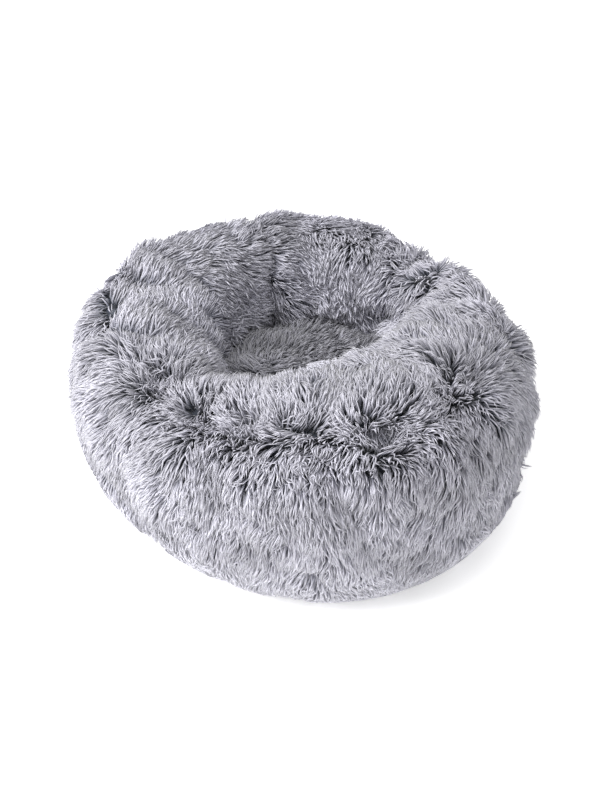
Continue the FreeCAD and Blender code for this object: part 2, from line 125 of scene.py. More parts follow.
def blend(grid: Array, row: Array, column: Array) -> Array:
    """Bilinear value of a grid at fractional rows and columns, wrapping round.

    The four points about a place are weighted by how near it lies to each along both ways.

    Args:
        grid: Values, (rows, columns, k).
        row: Rows, of any shape.
        column: Columns, of the same shape.

    Returns:
        Values, of that shape with k behind it.
    """
    i, j = np.floor(row).astype(int), np.floor(column).astype(int)
    u, v = (row - i)[..., None], (column - j)[..., None]
    i, j = i % len(grid), j % grid.shape[1]
    i2, j2 = (i + 1) % len(grid), (j + 1) % grid.shape[1]
    near = grid[i, j] * (1 - u) + grid[i2, j] * u
    far = grid[i, j2] * (1 - u) + grid[i2, j2] * u
    return near * (1 - v) + far * v


class Waves:
    """Smooth random field: a sum of sine waves of one wavelength in random directions."""

    def __init__(self, seed: int, wavelength: float, count: int = 10) -> None:
        """Draws the directions and phases.

        Args:
            seed: Seed of the random draw.
            wavelength: Mean wavelength in metres.
            count: Number of waves.
        """
        draw = np.random.default_rng(seed)
        spin = unit(draw.normal(size=(count, 3)))
        self.waves = spin * (math.tau / wavelength) * draw.uniform(0.7, 1.3, (count, 1))
        self.phases = draw.uniform(0, math.tau, count)

    def __call__(self, points: Array) -> Array:
        """Value at each point, with a spread of about one.

        Args:
            points: Array of points, (..., 3).

        Returns:
            Array of the points' shape without its last axis.
        """
        total = np.sin(points @ self.waves.T + self.phases).sum(axis=-1)
        return total / math.sqrt(len(self.phases) / 2)


# ---------------------------------------------------------------- shape of the bolster

@dataclass(frozen=True)
class BolsterForm:
    """Outline, crest and section of the bolster over the pile tips, as in the part."""

    outer_radius: float = 250 * MM
    oval_share: float = 0.047
    oval_angle: float = math.radians(123.6)
    corner_share: float = 0.027
    corner_angle: float = math.radians(45.1)
    hollow_radius: float = 84 * MM
    hollow_across: float = 2 * MM
    hollow_back: float = 40 * MM
    crest_height: float = 203 * MM
    crest_tilt: float = 15 * MM
    crest_tilt_angle: float = math.radians(-33.3)
    crest_oval: float = 20 * MM
    crest_oval_angle: float = math.radians(124.0)
    crest_lean: float = 6 * MM
    base_share: float = 0.55
    waist_share: float = 0.46
    side_power: float = 0.87
    top_power: float = 0.71
    foot_power: float = 0.70
    foot_drop: float = 12 * MM

    def outline(self, around: Array) -> Array:
        """Radius of the widest line: a circle with a two-lobed and a three-lobed part.

        Args:
            around: Angles round the bed.

        Returns:
            Radii, one for each angle.
        """
        oval = self.oval_share * np.cos(2 * (around - self.oval_angle))
        corner = self.corner_share * np.cos(3 * (around - self.corner_angle))
        return self.outer_radius * (1 + oval + corner)

    def hollow(self, around: Array) -> Array:
        """Distance from the origin to the circle of the hollow, which sits back of centre.

        Args:
            around: Angles round the bed.

        Returns:
            Distances, one for each angle.
        """
        reach = math.hypot(self.hollow_across, self.hollow_back)
        turn = around - math.atan2(self.hollow_back, self.hollow_across)
        chord = self.hollow_radius ** 2 - (reach * np.sin(turn)) ** 2
        return reach * np.cos(turn) + np.sqrt(chord)

    def crest(self, around: Array) -> Array:
        """Height of the crest: a mean height, a tilt and a two-lobed part.

        Args:
            around: Angles round the bed.

        Returns:
            Heights, one for each angle.
        """
        tilt = self.crest_tilt * np.cos(around - self.crest_tilt_angle)
        oval = self.crest_oval * np.cos(2 * (around - self.crest_oval_angle))
        return self.crest_height + tilt + oval

    def reach_at(self, around: Array, height: Array) -> Array:
        """Outer radius of the pile tips at heights under the waist, from the foot's formula.

        Args:
            around: Angles round the bed.
            height: Heights, of the same shape.

        Returns:
            Radii, of that shape.
        """
        outer, crest = self.outline(around), self.crest(around)
        middle, half = (outer + self.hollow(around)) / 2, (outer - self.hollow(around)) / 2
        waist = crest * self.waist_share
        share = np.clip((waist - height) / (waist + self.foot_drop), 0, 1)
        rise = share ** (1 / self.foot_power)
        cosine = np.sqrt(np.clip(1 - rise ** 2, 0, 1))
        return middle + half * cosine ** self.side_power + self.crest_lean * height / crest

    def base_edge(self, around: Array) -> Array:
        """Radius of the base cloth: a share of the way from section middle to outline."""
        outer, inner = self.outline(around), self.hollow(around)
        return (outer + inner) / 2 + (outer - inner) / 2 * self.base_share

    def point(self, around: Array, turn: Array, depth: Array) -> Array:
        """Points of the ring a depth inside the pile tips.

        The section is a squared-off oval: radius is the middle plus the half width times a
        power of the turn's cosine, and height is the waist plus a power of its sine.

        Args:
            around: Angles round the bed.
            turn: Turns round the section.
            depth: Depths inside the tips, which may be an array.

        Returns:
            Points, (..., 3).
        """
        outer, inner, crest = self.outline(around), self.hollow(around), self.crest(around)
        waist = crest * self.waist_share
        half = (outer - inner) / 2 - depth
        radius = (outer + inner) / 2 + half * signed_power(np.cos(turn), self.side_power)
        rise = np.abs(np.sin(turn))
        upper = waist + (crest - depth - waist) * rise ** self.top_power
        lower = waist - (waist + self.foot_drop) * rise ** self.foot_power
        height = np.where(np.sin(turn) > 0, upper, lower)
        return polar(radius + self.crest_lean * height / crest, around, height)

    def spot(self, around: float, turn: float, depth: float) -> Array:
        """One point, with its angle round the bed and its turn in degrees."""
        return self.point(np.radians(around), np.radians(turn), depth)

    def line(self, stops: Stops, count: int) -> Array:
        """Points along a line over the backing.

        Args:
            stops: Pairs of angle round the bed and turn, in degrees.
            count: Number of points.

        Returns:
            Points, (count, 3).
        """
        marks = np.radians(np.array(stops))
        ways = np.linspace(0, len(marks) - 1, count)
        around, turn = (np.interp(ways, np.arange(len(marks)), mark) for mark in marks.T)
        return self.point(around, turn, ROOT_DEPTH)


FORM = BolsterForm()
HOLLOW = np.array([FORM.hollow_across, FORM.hollow_back, 0.0])


@dataclass(frozen=True)
class Star:
    """A dimple that the fur radiates from."""

    around: float
    turn: float
    reach: float
    dent: float
    pull: float = 1.0

    def centre(self) -> Array:
        """Place of the dimple on the pile's surface."""
        return FORM.spot(self.around, self.turn, 12 * MM)


STARS = (
    Star(-158, 88, 62 * MM, 15 * MM, 1.5),
    Star(-131, 77, 40 * MM, 13 * MM, 1.0),
    Star(-108, 77, 26 * MM, 9 * MM, 0.6),
    Star(-71, 57, 34 * MM, 13 * MM, 1.0),
    Star(-39, 61, 40 * MM, 12 * MM, 0.9),
    Star(43, 88, 50 * MM, 4 * MM, 1.3),
    Star(112, 98, 20 * MM, 5 * MM, 0.4),
    Star(-116, 2, 16 * MM, 6 * MM, 0.4),
    Star(-103, 3, 14 * MM, 6 * MM, 0.4),
    Star(-93, 8, 16 * MM, 6 * MM, 0.4),
    Star(-78, 6, 14 * MM, 5 * MM, 0.3),
)


@dataclass(frozen=True)
class Seams:
    """Where the cover is sewn: five seams down the rim, and the crease round its outside."""

    gore_start: float = math.radians(41.0)
    gore_step: float = math.tau / 5
    gore_dents: tuple[float, ...] = (15 * MM, 13 * MM, 3 * MM, 3 * MM, 3 * MM)
    gore_width: float = 9 * MM
    crease_angles: tuple[float, ...] = (
        -180, -158, -131, -108, -86, -71, -59, -44, -28, 0, 44, 78, 112, 150, 180)
    crease_turns: tuple[float, ...] = (66, 86, 77, 77, 70, 57, 54, 56, 58, 60, 34, 30, 30, 46, 66)
    crease_shares: tuple[float, ...] = (0, 0.3, 0.5, 0.75, 0.55, 1, 0.7, 0.25, 0.1) + (0,) * 6
    crease_dent: float = 13 * MM
    crease_width: float = 10 * MM

    def crease_turn(self, around: Array) -> Array:
        """Turn of the section at which the fur parts, eased between chosen angles."""
        angles = np.radians(self.crease_angles)
        return np.radians(np.interp(turn_gap(around, 0.0), angles, self.crease_turns))

    def crease_depth(self, around: Array) -> Array:
        """How deep the crease is: deepest right of the front, none at the rear."""
        angles = np.radians(self.crease_angles)
        return self.crease_dent * np.interp(turn_gap(around, 0.0), angles, self.crease_shares)


@dataclass(frozen=True)
class Fold:
    """A fold of the stuffed cover, as a line of (angle round, turn) stops in degrees."""

    stops: Stops
    dent: float
    width: float

    def depth(self, points: Array) -> Array:
        """Depth of the fold at each point, faded out at its far end.

        Args:
            points: Points, (..., 3).

        Returns:
            Depths, one for each point.
        """
        line = FORM.line(self.stops, 40)
        depth = np.zeros(points.shape[:-1])
        for index, spot in enumerate(line):
            fade = math.sin(math.pi * (0.18 + 0.75 * index / len(line)))
            gap = np.linalg.norm(points - spot, axis=-1)
            depth = np.maximum(depth, self.dent * fade * bump(gap, self.width))
        return depth


FOLDS = (
    Fold(((52, 168), (46, 164), (30, 152), (14, 136), (2, 116)), 18 * MM, 12 * MM),
    Fold(((176, 66), (164, 76), (158, 92), (164, 108)), 5 * MM, 12 * MM),
)


@dataclass(frozen=True)
class Overlap:
    """Where one rim panel swells over the next: a lip along a line and a drop behind it."""

    stops: Stops
    behind: tuple[float, float, float]
    lip: float
    drop: float
    reach: float
    rise: float = 6 * MM
    set_back: float = 8 * MM

    def push(self, points: Array) -> Array:
        """How far each point is pushed out: up on the near side of the line, in behind it.

        Args:
            points: Points of the backing.

        Returns:
            Distances along the outward normal, negative behind the line.
        """
        gap = np.full(points.shape[:-1], 1e9)
        ahead = np.zeros(points.shape[:-1])
        for spot in FORM.line(self.stops, 50):
            away = points - spot
            far = np.linalg.norm(away, axis=-1)
            nearer = far < gap
            ahead = np.where(nearer, away @ unit(np.array(self.behind)), ahead)
            gap = np.minimum(gap, far)
        side = 0.5 + 0.5 * np.tanh(ahead / self.rise)
        drop = self.drop * bump(gap - self.set_back, self.reach)
        return (1 - side) * self.lip * bump(gap, self.reach) - side * drop


OVERLAP = Overlap(((50, 168), (30, 152), (14, 136), (2, 116), (2, 98), (6, 86)),
                  (0.2, 1.0, 0.3), 7 * MM, 25 * MM, 26 * MM)


@dataclass(frozen=True)
class Bulge:
    """A place where the stuffing pushes out."""

    around: float
    turn: float
    height: float
    width: float

    def push(self, points: Array) -> Array:
        """How far each point is pushed out: a bell curve of its distance."""
        place = FORM.spot(self.around, self.turn, ROOT_DEPTH)
        return self.height * bump(np.linalg.norm(points - place, axis=-1), self.width)


BULGES = (
    Bulge(-18, 118, 7 * MM, 26 * MM),
    Bulge(-125, 108, 7 * MM, 26 * MM),
    Bulge(178, 96, 7 * MM, 30 * MM),
    Bulge(140, 82, 6 * MM, 34 * MM),
    Bulge(80, 76, 5 * MM, 34 * MM),
)

SEAMS = Seams()


# ---------------------------------------------------------------- meshes

def new_object(name: str, mesh: Mesh) -> Object:
    """Object of a mesh, linked to the scene.

    Args:
        name: Name of the piece.
        mesh: Its mesh.

    Returns:
        The object.
    """
    piece = bpy.data.objects.new(name, mesh)
    bpy.context.scene.collection.objects.link(piece)
    return piece


def fill_mesh(name: str, points: Array, corners: Array, sizes: Array,
              layout: Array | None = None) -> Object:
    """Object from whole arrays.

    Args:
        name: Name of the piece.
        points: Vertices, (n, 3).
        corners: Vertex of every face corner, one after another.
        sizes: Corner count of every face.
        layout: Flat layout of every face corner, (corners, 2), or None.

    Returns:
        The smooth-shaded object.
    """
    mesh = bpy.data.meshes.new(name)
    mesh.vertices.add(len(points))
    mesh.vertices.foreach_set("co", np.ascontiguousarray(points, np.float32).ravel())
    mesh.loops.add(len(corners))
    mesh.loops.foreach_set("vertex_index", np.ascontiguousarray(corners, np.int32))
    mesh.polygons.add(len(sizes))
    starts = np.concatenate([[0], np.cumsum(sizes)[:-1]]).astype(np.int32)
    mesh.polygons.foreach_set("loop_start", starts)
    mesh.update(calc_edges=True)
    mesh.polygons.foreach_set("use_smooth", np.ones(len(sizes), bool))
    if layout is not None:
        uv = mesh.uv_layers.new(name="OFBake")
        uv.data.foreach_set("uv", np.ascontiguousarray(layout, np.float32).ravel())
    mesh.validate()
    return new_object(name, mesh)


def grid_faces(rows: int, columns: int, wrap_rows: bool, wrap_columns: bool) -> Array:
    """Corners of the quads of a grid, row by row, (quads, 4).

    Args:
        rows: Rows of points.
        columns: Points in a row.
        wrap_rows: Whether the last row meets the first.
        wrap_columns: Whether each row's last point meets its first.

    Returns:
        Four point numbers for each quad.
    """
    row_end = rows if wrap_rows else rows - 1
    column_end = columns if wrap_columns else columns - 1
    i, j = np.meshgrid(np.arange(row_end), np.arange(column_end), indexing="ij")
    i, j = i.ravel(), j.ravel()
    i2, j2 = (i + 1) % rows, (j + 1) % columns
    return np.stack([i * columns + j, i2 * columns + j, i2 * columns + j2, i * columns + j2], 1)


def grid_object(name: str, grid: Array, wrap_rows: bool, wrap_columns: bool) -> Object:
    """Object from a grid of points, (rows, columns, 3).

    Args:
        name: Name of the piece.
        grid: The points.
        wrap_rows: Whether the last row meets the first.
        wrap_columns: Whether each row's last point meets its first.

    Returns:
        The object.
    """
    rows, columns = grid.shape[:2]
    quads = grid_faces(rows, columns, wrap_rows, wrap_columns)
    return fill_mesh(name, grid.reshape(-1, 3), quads.ravel(), np.full(len(quads), 4))


def lathe_object(name: str, grid: Array) -> Object:
    """Closed round object: rings of points (rings, around, 3), with a point at each end.

    The first ring is the lowest and the last the highest, seen from above anticlockwise.

    Args:
        name: Name of the piece.
        grid: The rings.

    Returns:
        The object.
    """
    rings, count = grid.shape[:2]
    ends = np.stack([grid[0].mean(axis=0), grid[-1].mean(axis=0)])
    points = np.concatenate([grid.reshape(-1, 3), ends])
    quads = grid_faces(rings, count, False, True)[:, ::-1]
    j = np.arange(count)
    j2 = (j + 1) % count
    low = np.stack([j2, j, np.full(count, rings * count)], 1)
    top = (rings - 1) * count
    high = np.stack([top + j, top + j2, np.full(count, rings * count + 1)], 1)
    corners = np.concatenate([quads.ravel(), low.ravel(), high.ravel()])
    sizes = np.concatenate([np.full(len(quads), 4), np.full(2 * count, 3)])
    return fill_mesh(name, points, corners, sizes)


def swept_object(name: str, profile: Array, angles: Array, centre: tuple[float, float],
                 sway: Array | None = None) -> Object:
    """Closed band: an outline of (radius, height) points carried round a centre.

    Args:
        name: Name of the piece.
        profile: Outline, (n, 2), anticlockwise with the radius to the right.
        angles: Stops of the way round, in radians.
        centre: Centre of the arc.
        sway: Radius added at each stop and profile point, (stops, n), or None.

    Returns:
        The object, with its two ends closed.
    """
    stops, count = len(angles), len(profile)
    radius = profile[None, :, 0] + (0 if sway is None else sway)
    points = polar(radius, angles[:, None], profile[None, :, 1]) + [*centre, 0.0]
    quads = grid_faces(stops, count, False, True)
    first = np.arange(count)
    last = (stops - 1) * count + np.arange(count)[::-1]
    corners = np.concatenate([quads.ravel(), first, last])
    sizes = np.concatenate([np.full(len(quads), 4), [count, count]])
    return fill_mesh(name, points.reshape(-1, 3), corners, sizes)


@dataclass
class Patch:
    """Points, quads and the flat layout of the quads' corners."""

    points: Array
    quads: Array
    layout: Array


def shell_over(low: Array, high: Array, mask: Array) -> Patch:
    """Thin closed shell over the picked cells of a wrapped grid.

    Args:
        low: Inner points of the grid, (rows, columns, 3).
        high: Outer points of the grid, of the same shape.
        mask: Cells to keep, (rows, columns).

    Returns:
        The shell, laid out flat at the root end of the pile's colours.
    """
    rows, columns = mask.shape
    quads = grid_faces(rows, columns, True, True).reshape(rows, columns, 4)
    shift = rows * columns
    walls = [quads[mask] + shift, quads[mask][:, ::-1]]
    sides = ((-1, 0, 3, 0), (1, 0, 1, 2), (-1, 1, 0, 1), (1, 1, 2, 3))
    for step, axis, a, b in sides:
        edge = mask & ~np.roll(mask, -step, axis)
        first, second = quads[edge][:, a], quads[edge][:, b]
        walls.append(np.stack([second + shift, first + shift, first, second], 1))
    faces = np.concatenate(walls)
    used, index = np.unique(faces, return_inverse=True)
    index = index.reshape(-1, 4)
    points = np.concatenate([low.reshape(-1, 3), high.reshape(-1, 3)])[used]
    row, column = (used % shift) // columns / rows, used % columns / columns
    raised = used >= shift
    flat = np.stack([0.02 + 0.95 * row + 0.01 * raised, 0.005 + 0.03 * column + 0.01 * raised], 1)
    return Patch(points, index, flat[index])


def declare(piece: Object, material: Material, body: str, slot: str, *nodes: str) -> None:
    """Gives a piece its finish and says what it rides on and stands for.

    Args:
        piece: The piece.
        material: Its finish.
        body: Body that it rides on.
        slot: Material slot of the part; not used.
        *nodes: Nodes of the part that it stands for, if any.
    """
    piece.data.materials.append(material)
    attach(piece, body)
    if nodes:
        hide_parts(*nodes)


# ---------------------------------------------------------------- materials

ZIP_CENTRE = (-10 * MM, 2 * MM)
ZIP_RADIUS = 224 * MM


class Nodes:
    """Short way to write a material's nodes; a socket is a (node, output) pair."""

    def __init__(self, name: str) -> None:
        """Makes an empty material with a principled shader and its output.

        Args:
            name: Name of the material.
        """
        self.material = bpy.data.materials.new(name)
        self.material.use_nodes = True
        self.tree = self.material.node_tree
        self.tree.nodes.clear()
        self.shader = self.add("ShaderNodeBsdfPrincipled")
        self.link((self.shader, "BSDF"), self.add("ShaderNodeOutputMaterial"), "Surface")

    def add(self, kind: str, inputs: dict[str, object] | None = None, **settings: object) -> Node:
        """New node.

        Args:
            kind: Kind of node.
            inputs: Values of its inputs, by name.
            **settings: Its own settings, such as operation.

        Returns:
            The node.
        """
        node = self.tree.nodes.new(kind)
        for key, value in settings.items():
            setattr(node, key, value)
        for key, value in (inputs or {}).items():
            node.inputs[key].default_value = value
        return node

    def link(self, source: Socket, target: Node, into: str | int) -> None:
        """Joins a socket to an input of a node."""
        self.tree.links.new(source[0].outputs[source[1]], target.inputs[into])

    def shade(self, inputs: dict[str, object]) -> None:
        """Sets inputs of the shader, by name."""
        for key, value in inputs.items():
            self.shader.inputs[key].default_value = value

    def place(self) -> Socket:
        """The object's own coordinates."""
        return self.add("ShaderNodeTexCoord"), "Object"

    def split(self, source: Socket) -> Node:
        """Node that gives the X, Y and Z of a vector.

        Args:
            source: The vector.

        Returns:
            The node.
        """
        node = self.add("ShaderNodeSeparateXYZ")
        self.link(source, node, "Vector")
        return node

    def noise(self, scale: float, detail: float = 2.0, place: Socket | None = None) -> Socket:
        """Cloudy noise.

        Args:
            scale: Clouds in a metre.
            detail: How many finer layers it has.
            place: Coordinates, the object's own unless given.

        Returns:
            Its value.
        """
        node = self.add("ShaderNodeTexNoise", {"Scale": scale, "Detail": detail})
        self.link(place or self.place(), node, "Vector")
        return node, "Fac"

    def math(self, operation: str, *operands: Socket | float) -> Socket:
        """Sum, product or other function of sockets and numbers.

        Args:
            operation: Name of the function.
            *operands: Its one or two operands.

        Returns:
            Its value.
        """
        node = self.add("ShaderNodeMath", operation=operation)
        for index, value in enumerate(operands):
            if isinstance(value, tuple):
                self.link(value, node, index)
            else:
                node.inputs[index].default_value = value
        return node, 0

    def ribs(self, phase: Socket) -> Socket:
        """Rounded ribs: the size of the sine of a phase."""
        return self.math("ABSOLUTE", self.math("SINE", phase))

    def scaled(self, source: Socket, factor: float, base: float) -> Socket:
        """A base plus a value times a factor."""
        return self.math("ADD", self.math("MULTIPLY", source, factor), base)

    def ramp(self, source: Socket, *stops: tuple[float, Colour]) -> Socket:
        """Colour ramp.

        Args:
            source: What drives it.
            *stops: Places from 0 to 1 and the colours there.

        Returns:
            Its colour.
        """
        node = self.add("ShaderNodeValToRGB")
        elements = node.color_ramp.elements
        while len(elements) < len(stops):
            elements.new(0.5)
        for element, (place, colour) in zip(elements, stops):
            element.position = place
            element.color = (*colour, 1.0)
        self.link(source, node, "Fac")
        return node, "Color"

    def tint(self, source: Socket, *stops: tuple[float, Colour]) -> None:
        """Colours the surface by a ramp."""
        self.link(self.ramp(source, *stops), self.shader, "Base Color")

    def bump(self, source: Socket, distance: float, strength: float) -> None:
        """Raises the surface by a height, in looks only.

        Args:
            source: The height.
            distance: Metres for a height of one.
            strength: Share of the effect.
        """
        node = self.add("ShaderNodeBump", {"Distance": distance, "Strength": strength})
        self.link(source, node, "Height")
        self.link((node, "Normal"), self.shader, "Normal")


@dataclass(frozen=True)
class PileFinish:
    """Long pile: slate at the root, pale at the tip, each lock in its own shade."""

    name: str = "long_pile"
    stops: tuple[tuple[float, Colour], ...] = (
        (0.0, (0.035, 0.042, 0.060)),
        (0.28, (0.092, 0.102, 0.138)),
        (0.50, (0.330, 0.328, 0.385)),
        (0.76, (0.560, 0.552, 0.622)),
        (1.0, (0.650, 0.642, 0.712)),
    )
    darkest: float = 0.70
    lightest: float = 1.15

    def build(self) -> Material:
        """Material whose colour follows the lock's own layout: across is shade, up is length.

        Returns:
            The material.
        """
        nodes = Nodes(self.name)
        layout = nodes.split((nodes.add("ShaderNodeUVMap", uv_map="OFBake"), "UV"))
        shade = nodes.scaled((layout, "X"), self.lightest - self.darkest, self.darkest)
        lit = nodes.add("ShaderNodeVectorMath", operation="SCALE")
        nodes.link(nodes.ramp((layout, "Y"), *self.stops), lit, 0)
        nodes.link(shade, lit, "Scale")
        nodes.link((lit, "Vector"), nodes.shader, "Base Color")
        nodes.shade({"Roughness": 0.62, "Specular IOR Level": 0.25, "Sheen Weight": 0.25,
                     "Sheen Roughness": 0.5})
        return nodes.material


@dataclass(frozen=True)
class OxfordFinish:
    """Dark grey coated oxford cloth: a plain basket weave of doubled yarns."""

    yarn: Colour = (0.070, 0.072, 0.080)
    gap: Colour = (0.018, 0.019, 0.023)
    yarn_width: float = 0.9 * MM

    def build(self) -> Material:
        """Material of crossed yarns: the product of ribs along the object's X and Y.

        Returns:
            The material.
        """
        nodes = Nodes("oxford_cloth")
        place = nodes.split(nodes.place())
        yarns = [nodes.ribs(nodes.math("MULTIPLY", (place, axis), math.pi / self.yarn_width))
                 for axis in ("X", "Y")]
        weave = nodes.math("MULTIPLY", *yarns)
        nodes.tint(nodes.math("MULTIPLY", weave, nodes.noise(14.0)), (0.0, self.gap),
                   (0.40, self.yarn))
        nodes.bump(weave, 0.25 * MM, 0.7)
        nodes.shade({"Roughness": 0.62})
        return nodes.material


@dataclass(frozen=True)
class RubberFinish:
    """Slate rubber of the anti-slip dots, a little cloudy."""

    dark: Colour = (0.035, 0.037, 0.043)
    pale: Colour = (0.060, 0.062, 0.070)

    def build(self) -> Material:
        """Material of cloudy rubber with fine grain, in object coordinates.

        Returns:
            The material.
        """
        nodes = Nodes("grip_rubber")
        nodes.tint(nodes.noise(60.0), (0.35, self.dark), (0.70, self.pale))
        nodes.bump(nodes.noise(2200.0), 0.05 * MM, 0.5)
        nodes.shade({"Roughness": 0.72})
        return nodes.material


@dataclass(frozen=True)
class TapeFinish:
    """Woven polyester zip tape: fine slanted twill ribs in slate grey."""

    rib: Colour = (0.150, 0.155, 0.175)
    groove: Colour = (0.045, 0.047, 0.056)
    centre: tuple[float, float] = ZIP_CENTRE
    radius: float = ZIP_RADIUS
    rib_width: float = 0.7 * MM

    def build(self) -> Material:
        """Material of ribs whose phase is the way along the arc plus the height.

        Returns:
            The material.
        """
        nodes = Nodes("zip_tape")
        place = nodes.split(nodes.place())
        across = nodes.math("SUBTRACT", (place, "X"), self.centre[0])
        back = nodes.math("SUBTRACT", (place, "Y"), self.centre[1])
        angle = nodes.math("ARCTAN2", back, across)
        along = nodes.math("MULTIPLY", angle, self.radius * math.pi / self.rib_width)
        up = nodes.math("MULTIPLY", (place, "Z"), math.pi / self.rib_width)
        rib = nodes.ribs(nodes.math("ADD", along, up))
        nodes.tint(rib, (0.05, self.groove), (0.6, self.rib))
        nodes.bump(rib, 0.15 * MM, 0.7)
        nodes.shade({"Roughness": 0.8, "Sheen Weight": 0.15})
        return nodes.material


@dataclass(frozen=True)
class CoilFinish:
    """Slate nylon of the zip coils, slightly glossy."""

    dark: Colour = (0.100, 0.105, 0.120)
    pale: Colour = (0.180, 0.185, 0.205)

    def build(self) -> Material:
        """Material of glossy drawn nylon, faintly streaked in object coordinates.

        Returns:
            The material.
        """
        nodes = Nodes("zip_coil")
        streak = nodes.noise(700.0)
        nodes.tint(streak, (0.3, self.dark), (0.7, self.pale))
        nodes.link(nodes.scaled(streak, 0.3, 0.22), nodes.shader, "Roughness")
        return nodes.material


@dataclass(frozen=True)
class NickelFinish:
    """Brushed nickel plate of the slider, its pull and the stops."""

    pale: Colour = (0.70, 0.69, 0.67)
    darkened: Colour = (0.44, 0.42, 0.40)
    stretch: tuple[float, float, float] = (1.0, 1.0, 14.0)

    def build(self) -> Material:
        """Material of plate with fine scratches across and dull spots, in object coordinates.

        Returns:
            The material.
        """
        nodes = Nodes("zip_metal")
        stretched = nodes.add("ShaderNodeMapping", {"Scale": self.stretch})
        nodes.link(nodes.place(), stretched, "Vector")
        scratch = nodes.noise(420.0, 4.0, (stretched, "Vector"))
        nodes.tint(nodes.noise(160.0), (0.35, self.darkened), (0.60, self.pale))
        nodes.link(nodes.scaled(scratch, 0.35, 0.12), nodes.shader, "Roughness")
        nodes.bump(scratch, 0.02 * MM, 0.4)
        nodes.shade({"Metallic": 1.0})
        return nodes.material


@dataclass(frozen=True)
class SatinFinish:
    """Blank white satin of the care label: long floats in one direction."""

    raised: Colour = (0.78, 0.78, 0.77)
    groove: Colour = (0.56, 0.56, 0.57)
    rib_width: float = 0.45 * MM

    def build(self) -> Material:
        """Material of fine upright ribs, a wave of the height crossed with noise.

        Returns:
            The material.
        """
        nodes = Nodes("label_satin")
        height = (nodes.split(nodes.place()), "Z")
        rib = nodes.ribs(nodes.math("MULTIPLY", height, math.pi / self.rib_width))
        weave = nodes.math("MULTIPLY", rib, nodes.noise(500.0))
        nodes.tint(weave, (0.0, self.groove), (0.4, self.raised))
        nodes.bump(weave, 0.06 * MM, 0.5)
        nodes.shade({"Roughness": 0.38, "Sheen Weight": 0.3})
        return nodes.material


@dataclass(frozen=True)
class NonwovenFinish:
    """Spun-bonded inner cloth: off-white, with bonded dimples and matted fibres."""

    pale: Colour = (0.70, 0.70, 0.69)
    shaded: Colour = (0.48, 0.48, 0.49)
    dimple_scale: float = 420.0
    fibre_scale: float = 1500.0

    def build(self) -> Material:
        """Material of bonded dimples over fine fibres, in object coordinates.

        Returns:
            The material.
        """
        nodes = Nodes("nonwoven")
        dimples = nodes.add("ShaderNodeTexVoronoi", {"Scale": self.dimple_scale})
        nodes.link(nodes.place(), dimples, "Vector")
        depth = nodes.math("SMOOTH_MIN", (dimples, "Distance"), 0.35)
        height = nodes.math("MULTIPLY", depth, nodes.noise(self.fibre_scale, 3.0))
        nodes.tint(height, (0.0, self.shaded), (0.22, self.pale))
        nodes.bump(height, 0.3 * MM, 0.5)
        nodes.shade({"Roughness": 0.9, "Sheen Weight": 0.1})
        return nodes.material


# ---------------------------------------------------------------- where the zip lies

@dataclass(frozen=True)
class ZipArc:
    """Arc of the zip in the rear of the base seam, with the part's sizes."""

    centre: tuple[float, float] = ZIP_CENTRE
    radius: float = ZIP_RADIUS
    start: float = math.radians(40)
    end: float = math.radians(140)
    closed: float = math.radians(43)
    height: float = 22 * MM
    tape: float = 0.8 * MM
    notch_height: float = 36 * MM

    def beside(self, points: Array, margin: float) -> Array:
        """How far points lie within the arc's sweep, from 0 outside to 1 inside.

        Args:
            points: Points, (..., 3).
            margin: Angle over which it fades.

        Returns:
            Shares, one for each point.
        """
        angle = bearing(points, self.centre)[0]
        low = np.clip((angle - self.start + margin) / margin, 0, 1)
        high = np.clip((self.end + margin - angle) / margin, 0, 1)
        return low * high


ZIP = ZipArc()


# ---------------------------------------------------------------- padded forms

STUFFING = {"quality": 4, "mass": 0.3, "tension_stiffness": 12, "compression_stiffness": 12,
            "bending_stiffness": 0.6, "use_pressure": True, "uniform_pressure_force": 4,
            "vertex_group_mass": "held"}


def points_of(mesh: Mesh) -> Array:
    """Vertices of a mesh, (n, 3).

    Args:
        mesh: The mesh.

    Returns:
        The points.
    """
    flat = np.zeros(len(mesh.vertices) * 3, np.float32)
    mesh.vertices.foreach_get("co", flat)
    return flat.reshape(-1, 3).astype(float)


def swell(piece: Object, hold: Array, limit: float) -> Array:
    """Blows a stuffed form up with a short cloth simulation and takes the piece away.

    Args:
        piece: Trial piece that holds the form.
        hold: Share by which each point is held, 0 to 1.
        limit: The most that a point may move.

    Returns:
        How far each point moved, (n, 3).
    """
    before = points_of(piece.data)
    group = piece.vertex_groups.new(name="held")
    steps = np.round(hold, 1)
    for level in np.unique(steps):
        group.add(np.nonzero(steps == level)[0].tolist(), float(level), "REPLACE")
    cloth = piece.modifiers.new("stuffing", "CLOTH")
    for key, value in STUFFING.items():
        setattr(cloth.settings, key, value)
    cloth.settings.effector_weights.gravity = 0
    scene = bpy.context.scene
    for step in range(1, 21):
        scene.frame_set(step)
    evaluated = piece.evaluated_get(bpy.context.evaluated_depsgraph_get())
    shift = points_of(evaluated.data) - before
    scene.frame_set(1)
    bpy.data.objects.remove(piece)
    far = np.linalg.norm(shift, axis=-1, keepdims=True)
    return shift * np.minimum(1, limit / np.maximum(far, 1e-9))


